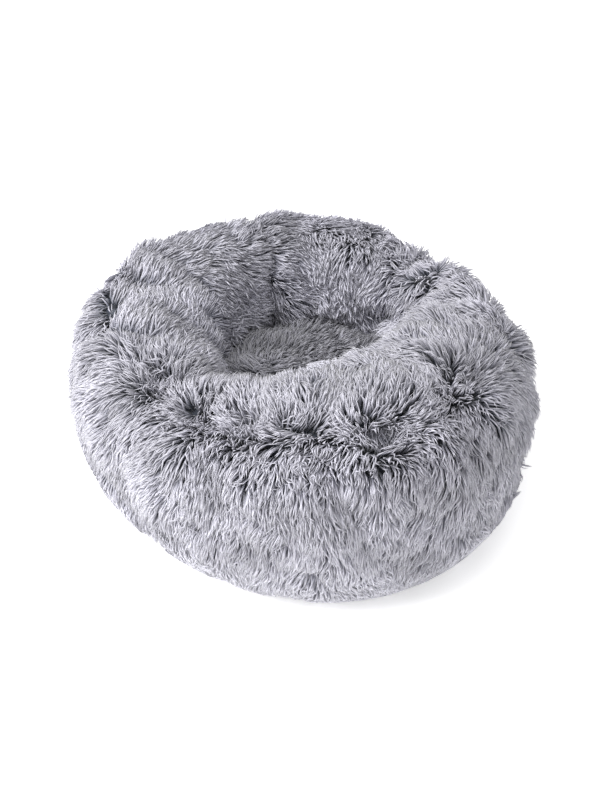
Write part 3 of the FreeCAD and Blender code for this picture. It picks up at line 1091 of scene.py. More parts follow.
class Skin:
    """Backing of the fur over the stuffed bolster, as a closed grid of points."""

    def __init__(self, depth: float, rows: int, columns: int) -> None:
        """Lays the grid out evenly along the section and dents it at the seams.

        Args:
            depth: How far the backing lies inside the pile tips.
            rows: Points round the bed.
            columns: Points round the section.
        """
        self.rows, self.columns = rows, columns
        self.around = -math.pi + math.tau * np.arange(rows) / rows
        self.turn = self.even_turns(columns)
        around, turn = np.meshgrid(self.around, self.turn, indexing="ij")
        smooth = FORM.point(around, turn, depth)
        dents = self.dents(smooth, around, turn)
        lumps = 2.4 * MM * Waves(11, 95 * MM)(smooth) + 2.0 * MM * Waves(12, 46 * MM)(smooth)
        lumps = lumps + sum(bulge.push(smooth) for bulge in BULGES) + OVERLAP.push(smooth)
        calm = np.clip(smooth[..., 2] / (50 * MM), 0, 1)
        self.points = smooth + self.normals_of(smooth) * (calm * lumps - dents)[..., None]
        self.settle()

    @staticmethod
    def even_turns(columns: int) -> Array:
        """Turns that cut the section into equal lengths, from a fine table of its length.

        Args:
            columns: Number of turns.

        Returns:
            Turns in radians, rising.
        """
        fine = np.linspace(0, math.tau, 4001)
        section = FORM.point(np.full_like(fine, math.radians(-90)), fine, 20 * MM)
        steps = np.linalg.norm(np.diff(section, axis=0), axis=1)
        length = np.concatenate([[0], np.cumsum(steps)])
        return np.interp(np.arange(columns) / columns * length[-1], length, fine)

    @staticmethod
    def normals_of(points: Array) -> Array:
        """Outward normals: cross product of the grid's two central differences.

        Args:
            points: Grid of points.

        Returns:
            Unit normals of the same shape.
        """
        along = np.roll(points, -1, 0) - np.roll(points, 1, 0)
        across = np.roll(points, -1, 1) - np.roll(points, 1, 1)
        return unit(np.cross(along, across))

    @staticmethod
    def dents(points: Array, around: Array, turn: Array) -> Array:
        """Depth of the seams' grooves, the crease and the dimples at each point.

        Args:
            points: Grid of points.
            around: Angles round the bed.
            turn: Turns round the section.

        Returns:
            Depths, one for each point.
        """
        depth = np.zeros(around.shape)
        angle, reach = bearing(points, HOLLOW)
        past = turn - SEAMS.crease_turn(around)
        rim = 1 / (1 + np.exp(-past / 0.10)) * (turn < UNDER_TURN)
        for index, dent in enumerate(SEAMS.gore_dents):
            gap = reach * turn_gap(angle, SEAMS.gore_start + index * SEAMS.gore_step)
            depth += dent * rim * bump(gap, SEAMS.gore_width)
        depth += SEAMS.crease_depth(around) * bump(past * TURN_REACH, SEAMS.crease_width)
        for star in STARS:
            gap = np.linalg.norm(points - star.centre(), axis=-1)
            depth += star.dent * bump(gap, 15 * MM)
        for fold in FOLDS:
            depth = np.maximum(depth, fold.depth(points))
        return np.minimum(depth, 34 * MM)

    def settle(self) -> None:
        """Draws the foot in behind the zip, rests it on the base cloth and finds the normals."""
        self.clear_zip()
        self.points[..., 2] = np.maximum(self.points[..., 2], 2.2 * MM)
        self.normals = self.normals_of(self.points)

    def hold(self) -> Array:
        """Share by which each point is held by a seam, the base or the zip, 0 to 1.

        Returns:
            Shares, (rows, columns).
        """
        around, turn = np.meshgrid(self.around, self.turn, indexing="ij")
        seam = self.dents(self.points, around, turn) / (9 * MM)
        low = self.points[..., 2] < 12 * MM
        zip_side = (self.points[..., 2] < 60 * MM) & (ZIP.beside(self.points, 0.09) > 0)
        inside = (turn > math.radians(175)) & (turn < math.radians(300))
        return np.clip(np.maximum(seam, (low | zip_side | inside) * 1.0), 0, 1)

    def stuff(self, limit: float) -> None:
        """Blows the form up between its seams, no point further than a limit.

        Args:
            limit: The most that a point may move.
        """
        trial = grid_object("stuffing_trial", self.points[::2, ::2], True, True)
        shift = swell(trial, self.hold()[::2, ::2].ravel(), limit)
        coarse = shift.reshape(self.rows // 2, self.columns // 2, 3)
        row, column = np.meshgrid(np.arange(self.rows) / 2, np.arange(self.columns) / 2,
                                  indexing="ij")
        self.points = self.points + blend(coarse, row, column)
        self.settle()

    def clear_zip(self) -> None:
        """Draws the foot in behind the zip: its distance from the arc's centre is limited."""
        angle, reach = bearing(self.points, ZIP.centre)
        beside = ZIP.beside(self.points, math.radians(5))
        height = self.points[..., 2]
        limit = ZIP.radius - 5 * MM + np.clip(height - ZIP.notch_height, 0, None) * 1.4
        drawn = np.minimum(reach, limit) * beside + reach * (1 - beside)
        self.points[..., 0] = ZIP.centre[0] + drawn * np.cos(angle)
        self.points[..., 1] = ZIP.centre[1] + drawn * np.sin(angle)


# ---------------------------------------------------------------- pile

@dataclass
class Locks:
    """Where each lock of fur stands and how it lies, one row per lock."""

    root: Array
    normal: Array
    lean: Array
    length: Array
    lift: Array
    rest: Array
    width: Array
    shade: Array
    clump: Array

    def take(self, mask: Array) -> "Locks":
        """The locks that a mask picks."""
        return Locks(*(getattr(self, name)[mask] for name in self.__dataclass_fields__))


@dataclass(frozen=True)
class Lie:
    """How a pile's locks stand: the usual value, what full ruffle adds, and the spread."""

    spin: tuple[float, float]
    lift: tuple[float, float, float]
    rest: tuple[float, float, float]
    length: tuple[float, float]
    width: tuple[float, float] = (0.75, 1.3)

    def draw(self, draw: np.random.Generator, ruffle: Array, direction: Array,
             normal: Array) -> tuple[Array, Array, Array, Array, Array]:
        """Draws how each lock stands.

        Args:
            draw: The random draw.
            ruffle: Ruffle of each lock, 0 to 1.
            direction: Unit directions in the skin.
            normal: Unit normals of the skin.

        Returns:
            Directions, lift angles, rest angles, and shares of full length and width.
        """
        direction = turned(direction, normal, draw.normal(0, self.spin[0] + self.spin[1] * ruffle))
        lift, rest = (np.radians(usual + ruffled * ruffle + draw.normal(0, spread, len(ruffle)))
                      for usual, ruffled, spread in (self.lift, self.rest))
        length, width = (draw.uniform(least, most, len(ruffle))
                         for least, most in (self.length, self.width))
        return direction, lift, rest, length, width


class PileBuilder:
    """Turns locks into one mesh of thin, bent, closed solids."""

    STEPS = np.array([0.0, 0.38, 0.74, 1.0])
    GIRTH = np.array([0.55, 1.0, 0.72])
    SIDES = 3
    COLUMNS = 96
    DROOP = 0.06

    def __init__(self, seed: int) -> None:
        """Keeps the random draw for curls and the tightness of clumps."""
        self.draw = np.random.default_rng(seed)

    def centrelines(self, locks: Locks) -> tuple[Array, Array]:
        """Centreline points of every lock.

        A lock starts at its lift angle from the backing and lies down towards its rest angle.
        Each step adds a length along the normal times the angle's sine and along the lean times
        its cosine; a sideways curl and a small droop grow with the square of the way.

        Args:
            locks: The locks.

        Returns:
            Points (n, 4, 3) and side directions (n, 3).
        """
        count = len(locks.root)
        side = unit(np.cross(locks.normal, locks.lean))
        curl = self.draw.normal(0, 0.2, count)
        points = np.zeros((count, len(self.STEPS), 3))
        points[:, 0] = locks.root - locks.normal * 1.5 * MM
        for k in range(1, len(self.STEPS)):
            step = self.STEPS[k] - self.STEPS[k - 1]
            middle = (self.STEPS[k] + self.STEPS[k - 1]) / 2
            angle = locks.lift * (1 - middle) ** 1.3 + locks.rest * (1 - (1 - middle) ** 1.3)
            way = locks.normal * np.sin(angle)[:, None] + locks.lean * np.cos(angle)[:, None]
            way = way + side * (2 * curl * middle)[:, None]
            points[:, k] = points[:, k - 1] + unit(way) * (locks.length * step)[:, None]
        points[..., 2] -= self.DROOP * locks.length[:, None] * self.STEPS ** 2
        return points, side

    def gather(self, points: Array, clump: Array) -> Array:
        """Draws the ends of the locks of a clump together, more towards their tips.

        Args:
            points: Centrelines, (n, 4, 3).
            clump: Clump of each lock.

        Returns:
            The centrelines.
        """
        kinds, index = np.unique(clump, return_inverse=True)
        index = index.ravel()
        count = np.bincount(index)
        tight = self.draw.uniform(0.25, 0.85, len(kinds))[index]
        for k in (2, 3):
            total = np.stack([np.bincount(index, points[:, k, a]) for a in range(3)], 1)
            middle = (total / count[:, None])[index]
            share = (tight * self.STEPS[k] ** 2 * (1 if k == 3 else 0.8))[:, None]
            points[:, k] += (middle - points[:, k]) * share
        return points

    def tuck(self, line: Array) -> Array:
        """Keeps the pile's foot between the foot's outline and the base cloth's edge.

        Args:
            line: Centrelines, (n, 4, 3).

        Returns:
            The centrelines.
        """
        around, reach = bearing(line, (0.0, 0.0))
        limit = FORM.reach_at(around, line[..., 2]) - 3 * MM
        low = np.clip((75 * MM - line[..., 2]) / (30 * MM), 0, 1)
        drawn = reach + (np.minimum(reach, limit) - reach) * low
        floor = np.clip((6 * MM - line[..., 2]) / (3 * MM), 0, 1)
        drawn = np.maximum(drawn, (FORM.base_edge(around) + 2 * MM) * floor)
        return polar(drawn, around, line[..., 2])

    def trim(self, line: Array) -> Array:
        """Cuts the pile over the zip: a lock that would hang past the hem is drawn in.

        Args:
            line: Centrelines, (n, 4, 3).

        Returns:
            The centrelines.
        """
        hem = ZIP.notch_height - 4 * MM
        over = (ZIP.beside(line[:, 0], math.radians(2)) > 0) & (line[:, 0, 2] > hem)
        drop = line[:, 0, 2] - line[:, 3, 2]
        room = line[:, 0, 2] - hem
        share = np.where(over & (drop > room), room / np.maximum(drop, 1e-6), 1.0)
        share = np.clip(share, 0.25, 1.0)[:, None, None]
        return line[:, :1] + (line - line[:, :1]) * share

    def build(self, name: str, locks: Locks, backing: Patch) -> Object:
        """One piece from its locks and the cloth that they stand in.

        Each lock has three rings of three points, a tip and a flat foot: the ring's points stand
        round the centreline at even turns, wider along the skin than off it.

        Args:
            name: Name of the piece.
            locks: The locks of the piece.
            backing: Thin shell of cloth under them.

        Returns:
            The object, with a layout that holds shade across and length up.
        """
        count = len(locks.root)
        line, side = self.centrelines(locks)
        line = self.gather(line, locks.clump)
        line[..., 2] = np.maximum(line[..., 2], 1.4 * MM)
        line = self.trim(self.tuck(line))
        vertices = np.zeros((count, 10, 3))
        for k in range(3):
            ahead = unit(line[:, k + 1] - line[:, max(k - 1, 0)])
            up = unit(np.cross(side, ahead))
            wide = unit(np.cross(ahead, up))
            girth = (locks.width * self.GIRTH[k] / 2)[:, None]
            for s in range(self.SIDES):
                angle = math.tau * s / self.SIDES + math.pi / 2
                spoke = wide * math.cos(angle) + up * (0.62 * math.sin(angle))
                vertices[:, 3 * k + s] = line[:, k] + spoke * girth
        vertices[:, 9] = line[:, 3]
        corners, sizes, layout = self.faces(count, locks.shade)
        points = np.concatenate([vertices.reshape(-1, 3), backing.points])
        corners = np.concatenate([corners, (backing.quads + 10 * count).ravel()])
        sizes = np.concatenate([sizes, np.full(len(backing.quads), 4)])
        layout = np.concatenate([layout, backing.layout.reshape(-1, 2)])
        return fill_mesh(name, points, corners, sizes, layout)

    def faces(self, count: int, shade: Array) -> tuple[Array, Array, Array]:
        """Face corners, face sizes and layout for a number of locks.

        Args:
            count: Number of locks.
            shade: Shade of each lock, 0 to 1.

        Returns:
            Point of every face corner, corner count of every face and layout.
        """
        one: list[list[int]] = []
        for k in (0, 3):
            for s in range(3):
                t = (s + 1) % 3
                one.append([k + s, k + t, k + 3 + t, k + 3 + s])
        for s in range(3):
            one.append([6 + s, 6 + (s + 1) % 3, 9])
        one.append([0, 2, 1])
        flat = np.array([corner for face in one for corner in face])
        sizes = np.tile([len(face) for face in one], count)
        corners = (flat[None, :] + 10 * np.arange(count)[:, None]).ravel()
        up = np.array([0.0] * 3 + [self.STEPS[1]] * 3 + [self.STEPS[2]] * 3 + [1.0])[flat]
        up = 0.01 + 0.98 * up
        across = np.concatenate([[0.0, 1.0, 1.0, 0.0] * 6, [0.0, 1.0, 0.5] * 3, [0.0, 1.0, 0.5]])
        column = np.clip(np.floor(shade * self.COLUMNS), 0, self.COLUMNS - 1)
        left = (column[:, None] + 0.1 + 0.8 * across[None, :]) / self.COLUMNS
        layout = np.stack([left, np.broadcast_to(up, left.shape)], axis=-1).reshape(-1, 2)
        return corners, sizes, layout


@dataclass
class Bolster:
    """The stuffed ring and the fur round it."""

    builder: PileBuilder
    finish: Material
    lock_count: int = 98000
    lock_length: float = 34 * MM
    lock_width: float = 2.3 * MM
    backing_depth: float = 20 * MM
    swell: float = 9 * MM
    seed: int = 7
    clump_size: float = 9 * MM
    hem_height: float = 40 * MM
    inner_end: float = math.radians(196)
    outer_end: float = math.radians(302)
    naps: tuple[float, ...] = (-52.0, -78.0, -25.0, 6.0, 12.0)
    lie: Lie = Lie((0.24, 0.4), (54, 26, 6), (5, 36, 4), (0.78, 1.08))
    skin: Skin = field(init=False)

    def __post_init__(self) -> None:
        """Shapes the padded form."""
        self.skin = Skin(self.backing_depth, 300, 120)
        self.skin.stuff(self.swell)

    def comb(self, points: Array, normals: Array, around: Array, turn: Array,
             along: Array) -> tuple[Array, Array]:
        """Direction that the fur lies in, and how ruffled it is.

        Over the crease line the nap runs towards the hollow, under it towards the floor; each rim
        panel turns its nap by its own angle, and every dimple pushes the fur away from itself.

        Args:
            points: Roots.
            normals: Outward normals there.
            around: Angles round the bed.
            turn: Turns round the section.
            along: Directions round the bed, in the skin.

        Returns:
            Unit directions in the skin (n, 3) and ruffle from 0 to 1 (n).
        """
        inward = unit(np.cross(normals, along))
        past = turn - SEAMS.crease_turn(around)
        front = SEAMS.crease_depth(around) / SEAMS.crease_dent
        calm = (1 - front) * bump(turn_gap(around, math.radians(55)), math.radians(70))
        side = np.tanh(past / (0.16 + 0.2 * calm))
        turning = 0.9 * calm * (1 - side ** 2)
        angle, half = bearing(points, HOLLOW)[0], SEAMS.gore_step / 2
        nap, weight = np.zeros(len(points)), np.full(len(points), 1e-9)
        for index, panel_nap in enumerate(np.radians(self.naps)):
            gap = turn_gap(angle, SEAMS.gore_start + index * SEAMS.gore_step + half)
            share = 1 / (1 + np.exp((np.abs(gap) - half) / 0.05))
            nap += share * panel_nap
            weight += share
        stray = 0.30 * Waves(21, 120 * MM)(points) + 0.26 * Waves(22, 36 * MM)(points)
        stray = stray + 0.16 * Waves(24, 17 * MM)(points)
        bend = np.clip(side, 0, 1) * (nap / weight) + stray
        direction = inward * (np.cos(bend) * side)[:, None]
        direction += along * (np.sin(bend) + turning)[:, None]
        ruffle = 0.9 * front * bump(past * TURN_REACH, 24 * MM)
        ruffle += 0.35 * np.clip(Waves(25, 42 * MM)(points) - 0.3, 0, 1)
        for star in STARS:
            away = points - star.centre()
            away = away - normals * dot(away, normals)
            gap = np.linalg.norm(away, axis=1)
            direction += unit(away) * (3.0 * star.pull * bump(gap, star.reach * 0.5))[:, None]
            ruffle += 0.7 * bump(gap, 20 * MM)
        direction = unit(direction - normals * dot(direction, normals))
        return direction, np.clip(ruffle, 0, 1)

    def plant(self) -> tuple[Locks, Array, Array, Array]:
        """Plants the locks evenly over the skin.

        Near the floor they are shorter and lie flatter.  The hollow's side is painted paler than
        the usual shade, as painted light, and the crest's front half painted darker, as painted
        shade.

        Returns:
            The locks, their angles round the bed, their turns and their angles round the hollow.
        """
        draw, count, skin = np.random.default_rng(self.seed), self.lock_count, self.skin
        edges = [np.roll(skin.points, -1, axis) - skin.points for axis in (0, 1)]
        area = np.linalg.norm(np.cross(*edges), axis=-1)
        area = area * ~((skin.turn > self.inner_end) & (skin.turn < self.outer_end))
        heap = np.cumsum(area.ravel())
        picks = np.arange(count) + draw.uniform(0, 1, count)
        cell = np.searchsorted(heap, picks / count * heap[-1])
        cell = np.minimum(cell, area.size - 1)
        row = cell // skin.columns + draw.uniform(0, 1, count)
        column = cell % skin.columns + draw.uniform(0, 1, count)
        root = blend(skin.points, row, column)
        normal = unit(blend(skin.normals, row, column))
        ahead = np.roll(skin.points, -1, 0) - np.roll(skin.points, 1, 0)
        along = unit(blend(ahead, row, column))
        around = -math.pi + math.tau * row / skin.rows
        turns = np.append(skin.turn, math.tau)
        turn = np.interp(column % skin.columns, np.arange(skin.columns + 1), turns)
        turn = np.where(turn > UNDER_TURN, turn - math.tau, turn)
        direction, ruffle = self.comb(root, normal, around, turn, along)
        direction, lift, rest, length, width = self.lie.draw(draw, ruffle, direction, normal)
        high = np.clip((root[:, 2] - 6 * MM) / (46 * MM), 0, 1)
        length = self.lock_length * length * (0.48 + 0.52 * high)
        lift, rest = lift * (0.45 + 0.55 * high), rest * high
        # Painted light: locks on the hollow's side are made paler, standing in for light falling
        # into the hollow.
        inner = np.clip((turn - math.radians(112)) / math.radians(30), 0, 1)
        # Painted shade: locks over the front half of the crest are made darker, standing in for the
        # shade of the ruffled rim.
        darkened = bump(turn - math.radians(86), math.radians(24)) * (root[:, 1] < 0)
        shade = 0.46 + 0.55 * inner - 0.26 * darkened + 0.13 * Waves(31, 60 * MM)(root)
        shade = np.clip(shade + draw.normal(0, 0.16, count), 0, 0.999)
        warp = 0.5 * self.clump_size
        cells = np.stack([root[:, a] + warp * Waves(41 + a, 30 * MM)(root) for a in range(3)], 1)
        locks = Locks(root, normal, direction, length, lift, rest, self.lock_width * width, shade,
                      cell_key(cells / self.clump_size))
        keep = ~self.over_zip(root)
        return locks.take(keep), around[keep], turn[keep], bearing(root, HOLLOW)[0][keep]

    def over_zip(self, root: Array) -> Array:
        """Mask of the roots that lie in the zip's notch."""
        return (ZIP.beside(root, math.radians(0.4)) > 0) & (root[..., 2] < self.hem_height)

    def build(self) -> None:
        """Makes the padded ring and the fur on it, one piece per panel or stretch."""
        pad = grid_object("bolster_pad", self.skin.points - self.skin.normals * MM, True, True)
        declare(pad, NonwovenFinish().build(), BODY, "nonwoven", "bolster_liner", "bolster_filling")
        locks, around, turn, hollow_angle = self.plant()
        low = self.skin.points[::2, ::2] + self.skin.normals[::2, ::2] * 0.2 * MM
        high = low + self.skin.normals[::2, ::2] * 1.1 * MM
        cells = (low + np.roll(low, -1, 0) + np.roll(low, -1, 1)) / 3
        cell_around, cell_turn = np.meshgrid(self.skin.around[::2], self.skin.turn[::2],
                                             indexing="ij")
        covered = (cell_turn < self.inner_end) | (cell_turn > self.outer_end)
        covered &= ~self.over_zip(cells)
        cell_turn = np.where(cell_turn > UNDER_TURN, cell_turn - math.tau, cell_turn)
        cell_angle = bearing(cells, HOLLOW)[0]
        cell_inside = cell_turn > SEAMS.crease_turn(cell_around)
        inside = turn > SEAMS.crease_turn(around)
        names = ("rear", "left", "front_left", "front_right", "right")
        step = SEAMS.gore_step
        for index, name in enumerate(names):
            start = SEAMS.gore_start + index * step
            node = "rim_gore_" + name
            mask = inside & ((hollow_angle - start) % math.tau < step)
            cell_mask = covered & cell_inside & ((cell_angle - start) % math.tau < step)
            self.dress(node + "_pile", locks.take(mask), shell_over(low, high, cell_mask), node)
        stretches = ("left", "front_left", "front", "front_right", "right", "rear")
        share = math.tau / len(stretches)
        for index, name in enumerate(stretches):
            start = -math.pi - share / 2 + index * share
            mask = ~inside & ((around - start) % math.tau < share)
            cell_mask = covered & ~cell_inside & ((cell_around - start) % math.tau < share)
            self.dress("outer_wall_pile_" + name, locks.take(mask),
                       shell_over(low, high, cell_mask), "outer_wall_fur")

    def dress(self, name: str, locks: Locks, backing: Patch, node: str) -> None:
        """Args:
            name: Name of the piece.
            locks: Its locks.
            backing: Thin shell of cloth under them.
            node: Node that it stands for.
        """
        piece = self.builder.build(name, locks, backing)
        declare(piece, self.finish, BODY, "long_pile_fur", node)
        LOG.info("%s: %d locks, %d triangles", name, len(locks.root),
                 16 * len(locks.root) + 2 * len(backing.quads))


# ---------------------------------------------------------------- seat

# Middle of the swirl in the seat's nap.
SWIRL = HOLLOW - np.array([26 * MM, 14 * MM, 0.0])


@dataclass
class Seat:
    """Round stuffed pad in the hollow, the fur on it and the cloth wall round it."""

    builder: PileBuilder
    finish: Material
    radius: float = 99 * MM
    foot: float = 3 * MM
    top: float = 92 * MM
    crown: float = 7 * MM
    pile_radius: float = 93 * MM
    lock_count: int = 6400
    lock_length: float = 33 * MM
    lock_width: float = 2.4 * MM
    clump_size: float = 7.5 * MM
    wall_radius: float = 101.6 * MM
    lie: Lie = Lie((0.25, 0.4), (58, 20, 6), (10, 26, 6), (0.65, 1.12))
    swell: float = 6 * MM
    seed: int = 19
    rings: int = 60
    around: int = 96
    points: Array = field(init=False)

    def __post_init__(self) -> None:
        """Shapes the pad.

        A point of ring t goes from the pad's underside (minus a quarter turn) to its top (a
        quarter turn): radius is a low power of the cosine and height a power of the sine, both
        with the corners squared off.
        """
        turn = np.linspace(-1, 1, self.rings + 2)[1:-1] * math.pi / 2
        angle = math.tau * np.arange(self.around) / self.around
        radius = self.radius * np.cos(turn) ** 0.36
        middle, half = (self.top + self.foot) / 2, (self.top - self.foot) / 2
        height = middle + half * signed_power(np.sin(turn), 0.42)
        points = HOLLOW + polar(radius[:, None], angle, height[:, None])
        upper = np.clip((points[..., 2] - middle) / half, 0, 1)
        dome = self.crown * (1 - (radius / self.radius) ** 2)[:, None]
        points[..., 2] += upper * (dome + 2.5 * MM * Waves(51, 70 * MM)(points))
        self.points = points
        hold = np.where(points[..., 2] < 70 * MM, 1.0, 0.0).ravel()
        trial = lathe_object("seat_trial", points)
        shift = swell(trial, np.append(hold, [1.0, 0.0]), self.swell)
        self.points = points + shift[:-2].reshape(points.shape)

    def build(self) -> None:
        """Makes the pad, its fur and the wall."""
        pad = lathe_object("seat_pad", self.points)
        declare(pad, NonwovenFinish().build(), BODY, "nonwoven", "seat_liner", "seat_filling")
        self.build_fur()
        self.build_wall()

    def top_height(self, flat: Array) -> tuple[Array, Array]:
        """Height and normal of the pad's top over points of the plan, (n, 2).

        The height is blended from the pad's grid.  The normal leans out by 0.7 of the cube of
        the share of the way to the rim.

        Args:
            flat: Points of the plan, (n, 2).

        Returns:
            Heights (n) and unit normals (n, 3).
        """
        upper = self.points[self.rings // 2:]
        angle, reach = bearing(flat, HOLLOW)
        ring_reach = bearing(upper, HOLLOW)[1].mean(axis=1)
        order = np.argsort(ring_reach)
        ring = np.interp(reach, ring_reach[order], order.astype(float))
        height = blend(upper, ring, angle % math.tau / math.tau * self.around)[:, 2]
        slope = np.clip((reach / self.radius) ** 3, 0, 1)[:, None]
        out = unit(flat - HOLLOW[:2]) * slope * 0.7
        return height, unit(np.concatenate([out, np.ones((len(out), 1))], axis=1))

    def comb(self, points: Array) -> Array:
        """Direction of the seat's nap: a slow swirl that eases into a sideways lie.

        Args:
            points: Roots, (n, 3).

        Returns:
            Unit directions, (n, 3).
        """
        out = points - SWIRL
        out[:, 2] = 0
        gap = np.linalg.norm(out, axis=1)
        turned = np.stack([-out[:, 1], out[:, 0], 0 * gap], axis=1)
        swirl = unit(out) * 0.75 - unit(turned) * 0.65
        lie = np.array([0.9, 0.35, 0.0])
        share = bump(gap, 42 * MM)[:, None]
        bend = 0.5 * Waves(52, 60 * MM)(points) + 0.3 * Waves(53, 26 * MM)(points)
        way = unit(swirl * share + lie * (1 - share))
        side = np.stack([-way[:, 1], way[:, 0], way[:, 2]], axis=1)
        return unit(way * np.cos(bend)[:, None] + side * np.sin(bend)[:, None])

    def build_fur(self) -> None:
        """Plants the seat's locks evenly over the disc and lays its backing under them."""
        draw = np.random.default_rng(self.seed)
        count = self.lock_count
        reach = self.pile_radius * np.sqrt((np.arange(count) + draw.uniform(0, 1, count)) / count)
        angle = np.arange(count) * GOLDEN_ANGLE + draw.normal(0, 0.25, count)
        flat = (HOLLOW + polar(reach, angle, 0 * reach))[:, :2]
        height, normal = self.top_height(flat)
        root = np.concatenate([flat, height[:, None]], axis=1)
        direction = self.comb(root)
        direction = unit(direction - normal * dot(direction, normal))
        out = bearing(root, SWIRL)[1]
        ruffle = np.clip(0.6 + 0.3 * Waves(57, 30 * MM)(root) + 0.4 * bump(out, 30 * MM), 0, 1)
        direction, lift, rest, length, width = self.lie.draw(draw, ruffle, direction, normal)
        near_wall = np.clip((reach - 74 * MM) / (18 * MM), 0, 1)
        length = self.lock_length * length * (1 - 0.3 * near_wall)
        # A lower shade than the bolster's: painted shade for the seat down in the hollow.
        shade = 0.3 + 0.13 * Waves(54, 50 * MM)(root) + draw.normal(0, 0.17, count)
        cells = root / self.clump_size + 0.6 * Waves(55, 25 * MM)(root)[:, None]
        locks = Locks(root, normal, direction, length, lift, rest, self.lock_width * width,
                      np.clip(shade, 0, 0.999), cell_key(cells[:, :2]))
        mask = np.zeros((self.rings, self.around), bool)
        mask[self.rings // 2 + 6:-1] = True
        lift_off = np.array([0.0, 0.0, MM])
        backing = shell_over(self.points + 0.3 * lift_off, self.points + 1.3 * lift_off, mask)
        backing.quads = backing.quads[:, ::-1]
        backing.layout = backing.layout[:, ::-1]
        piece = self.builder.build("seat_pile", locks, backing)
        declare(piece, self.finish, BODY, "long_pile_fur", "seat_fur")
        LOG.info("seat_pile: %d locks", count)

    def build_wall(self) -> None:
        """Cloth tube between seat pad and bolster, with the slack of a sewn lining."""
        angles = np.linspace(0, math.tau, 181)[:-1]
        heights = np.linspace(2.6 * MM, 76 * MM, 26)
        around, height = np.meshgrid(angles, heights, indexing="ij")
        radius = self.wall_radius + 0.35 * MM * np.sin(18 * around + 60 * height)
        radius = radius + 0.3 * MM * Waves(56, 1.1)(polar(1.0, around, 40 * height))
        outer = HOLLOW + polar(radius + 0.2 * MM, around, height)
        inner = HOLLOW + polar(radius - 0.2 * MM, around, height)
        grid = np.concatenate([outer, inner[:, ::-1]], axis=1)
        wall = grid_object("seat_wall_tube", grid, True, True)
        declare(wall, NonwovenFinish().build(), BODY, "nonwoven", "seat_wall_cloth")
        LOG.info("seat_wall_tube: %d by %d points", *grid.shape[:2])


# ---------------------------------------------------------------- base cloth

@dataclass
class Base:
    """Oxford cloth under the bed, with its printed anti-slip dots."""

    lift: float = 0.55 * MM
    thickness: float = 0.7 * MM
    dot_pitch: float = 17 * MM
    dot_radius: float = 2.2 * MM
    rings: int = 34
    around: int = 168

    def sag(self, points: Array) -> Array:
        """Height of the cloth's underside: a slack of two gentle waves, never under the lift."""
        slack = 0.18 * MM * Waves(61, 110 * MM)(points) + 0.08 * MM * Waves(62, 45 * MM)(points)
        return self.lift + np.clip(slack + 0.25 * MM, 0, 0.6 * MM)

    def build(self) -> None:
        """Makes the cloth and its dots."""
        angle = math.tau * np.arange(self.around) / self.around
        share = np.linspace(0, 1, self.rings + 1)[1:]
        reach = share[:, None] * FORM.base_edge(angle)[None, :]
        under = polar(reach, angle, 0 * reach)
        under[..., 2] = self.sag(under)
        over = under + np.array([0.0, 0.0, self.thickness])
        cloth = lathe_object("base_sheet", np.concatenate([under, over[::-1]]))
        declare(cloth, OxfordFinish().build(), BODY, "oxford_cloth", "base_cloth")
        self.build_dots()

    def build_dots(self) -> None:
        """Prints low domes in staggered rows, each a tapered disc of eight sides."""
        count = int(0.27 / self.dot_pitch)
        row, column = np.meshgrid(np.arange(-count, count), np.arange(-count, count), indexing="ij")
        spots = np.stack([(column + 0.5 * (row % 2)) * self.dot_pitch,
                          row * self.dot_pitch * math.sqrt(0.75)], axis=-1).reshape(-1, 2)
        around, reach = bearing(spots, (0.0, 0.0))
        spots = spots[reach < FORM.base_edge(around) - 9 * MM]
        turn = math.tau * np.arange(8) / 8
        low, high = 0.05 * MM, self.lift + 0.3 * MM
        profile = ((0.62, low), (1.0, low + 0.2 * MM), (1.0, high))
        one = np.concatenate([polar(share * self.dot_radius, turn, z) for share, z in profile])
        points = np.zeros((len(spots), 24, 3)) + one
        points[..., :2] += spots[:, None, :]
        quads = grid_faces(3, 8, False, True)[:, ::-1]
        shift = 24 * np.arange(len(spots))[:, None, None]
        sides = (quads[None] + shift).reshape(-1)
        bottoms = (np.arange(8)[::-1][None] + shift[:, :, 0]).reshape(-1)
        tops = (np.arange(16, 24)[None] + shift[:, :, 0]).reshape(-1)
        sizes = np.concatenate([np.full(16 * len(spots), 4), np.full(2 * len(spots), 8)])
        dots = fill_mesh("grip_dots", points.reshape(-1, 3),
                         np.concatenate([sides, bottoms, tops]), sizes)
        declare(dots, RubberFinish().build(), BODY, "oxford_cloth")
        LOG.info("grip_dots: %d dots", len(spots))


# ---------------------------------------------------------------- zip

class ZipEdge(Enum):
    """The two halves of the zip: lower on the base cloth, upper under the fur."""

    LOWER = "lower"
    UPPER = "upper"


# Outline of each tape in millimetres: distance outside the arc and height.
TAPE_OUTLINES = {
    ZipEdge.LOWER: np.array([
        (-9, 1.65), (-0.4, 1.65), (0.4, 1.85), (0.8, 2.65), (0.8, 11), (0.8, 21), (0.2, 21.2),
        (0, 20.8), (0, 11), (0, 3.25), (-0.8, 2.45), (-9, 2.35)]),
    ZipEdge.UPPER: np.array([
        (0, 22.9), (0.6, 22.8), (0.8, 23.2), (0.8, 29), (0.8, 35.6), (0, 35.6), (0, 29)]),
}


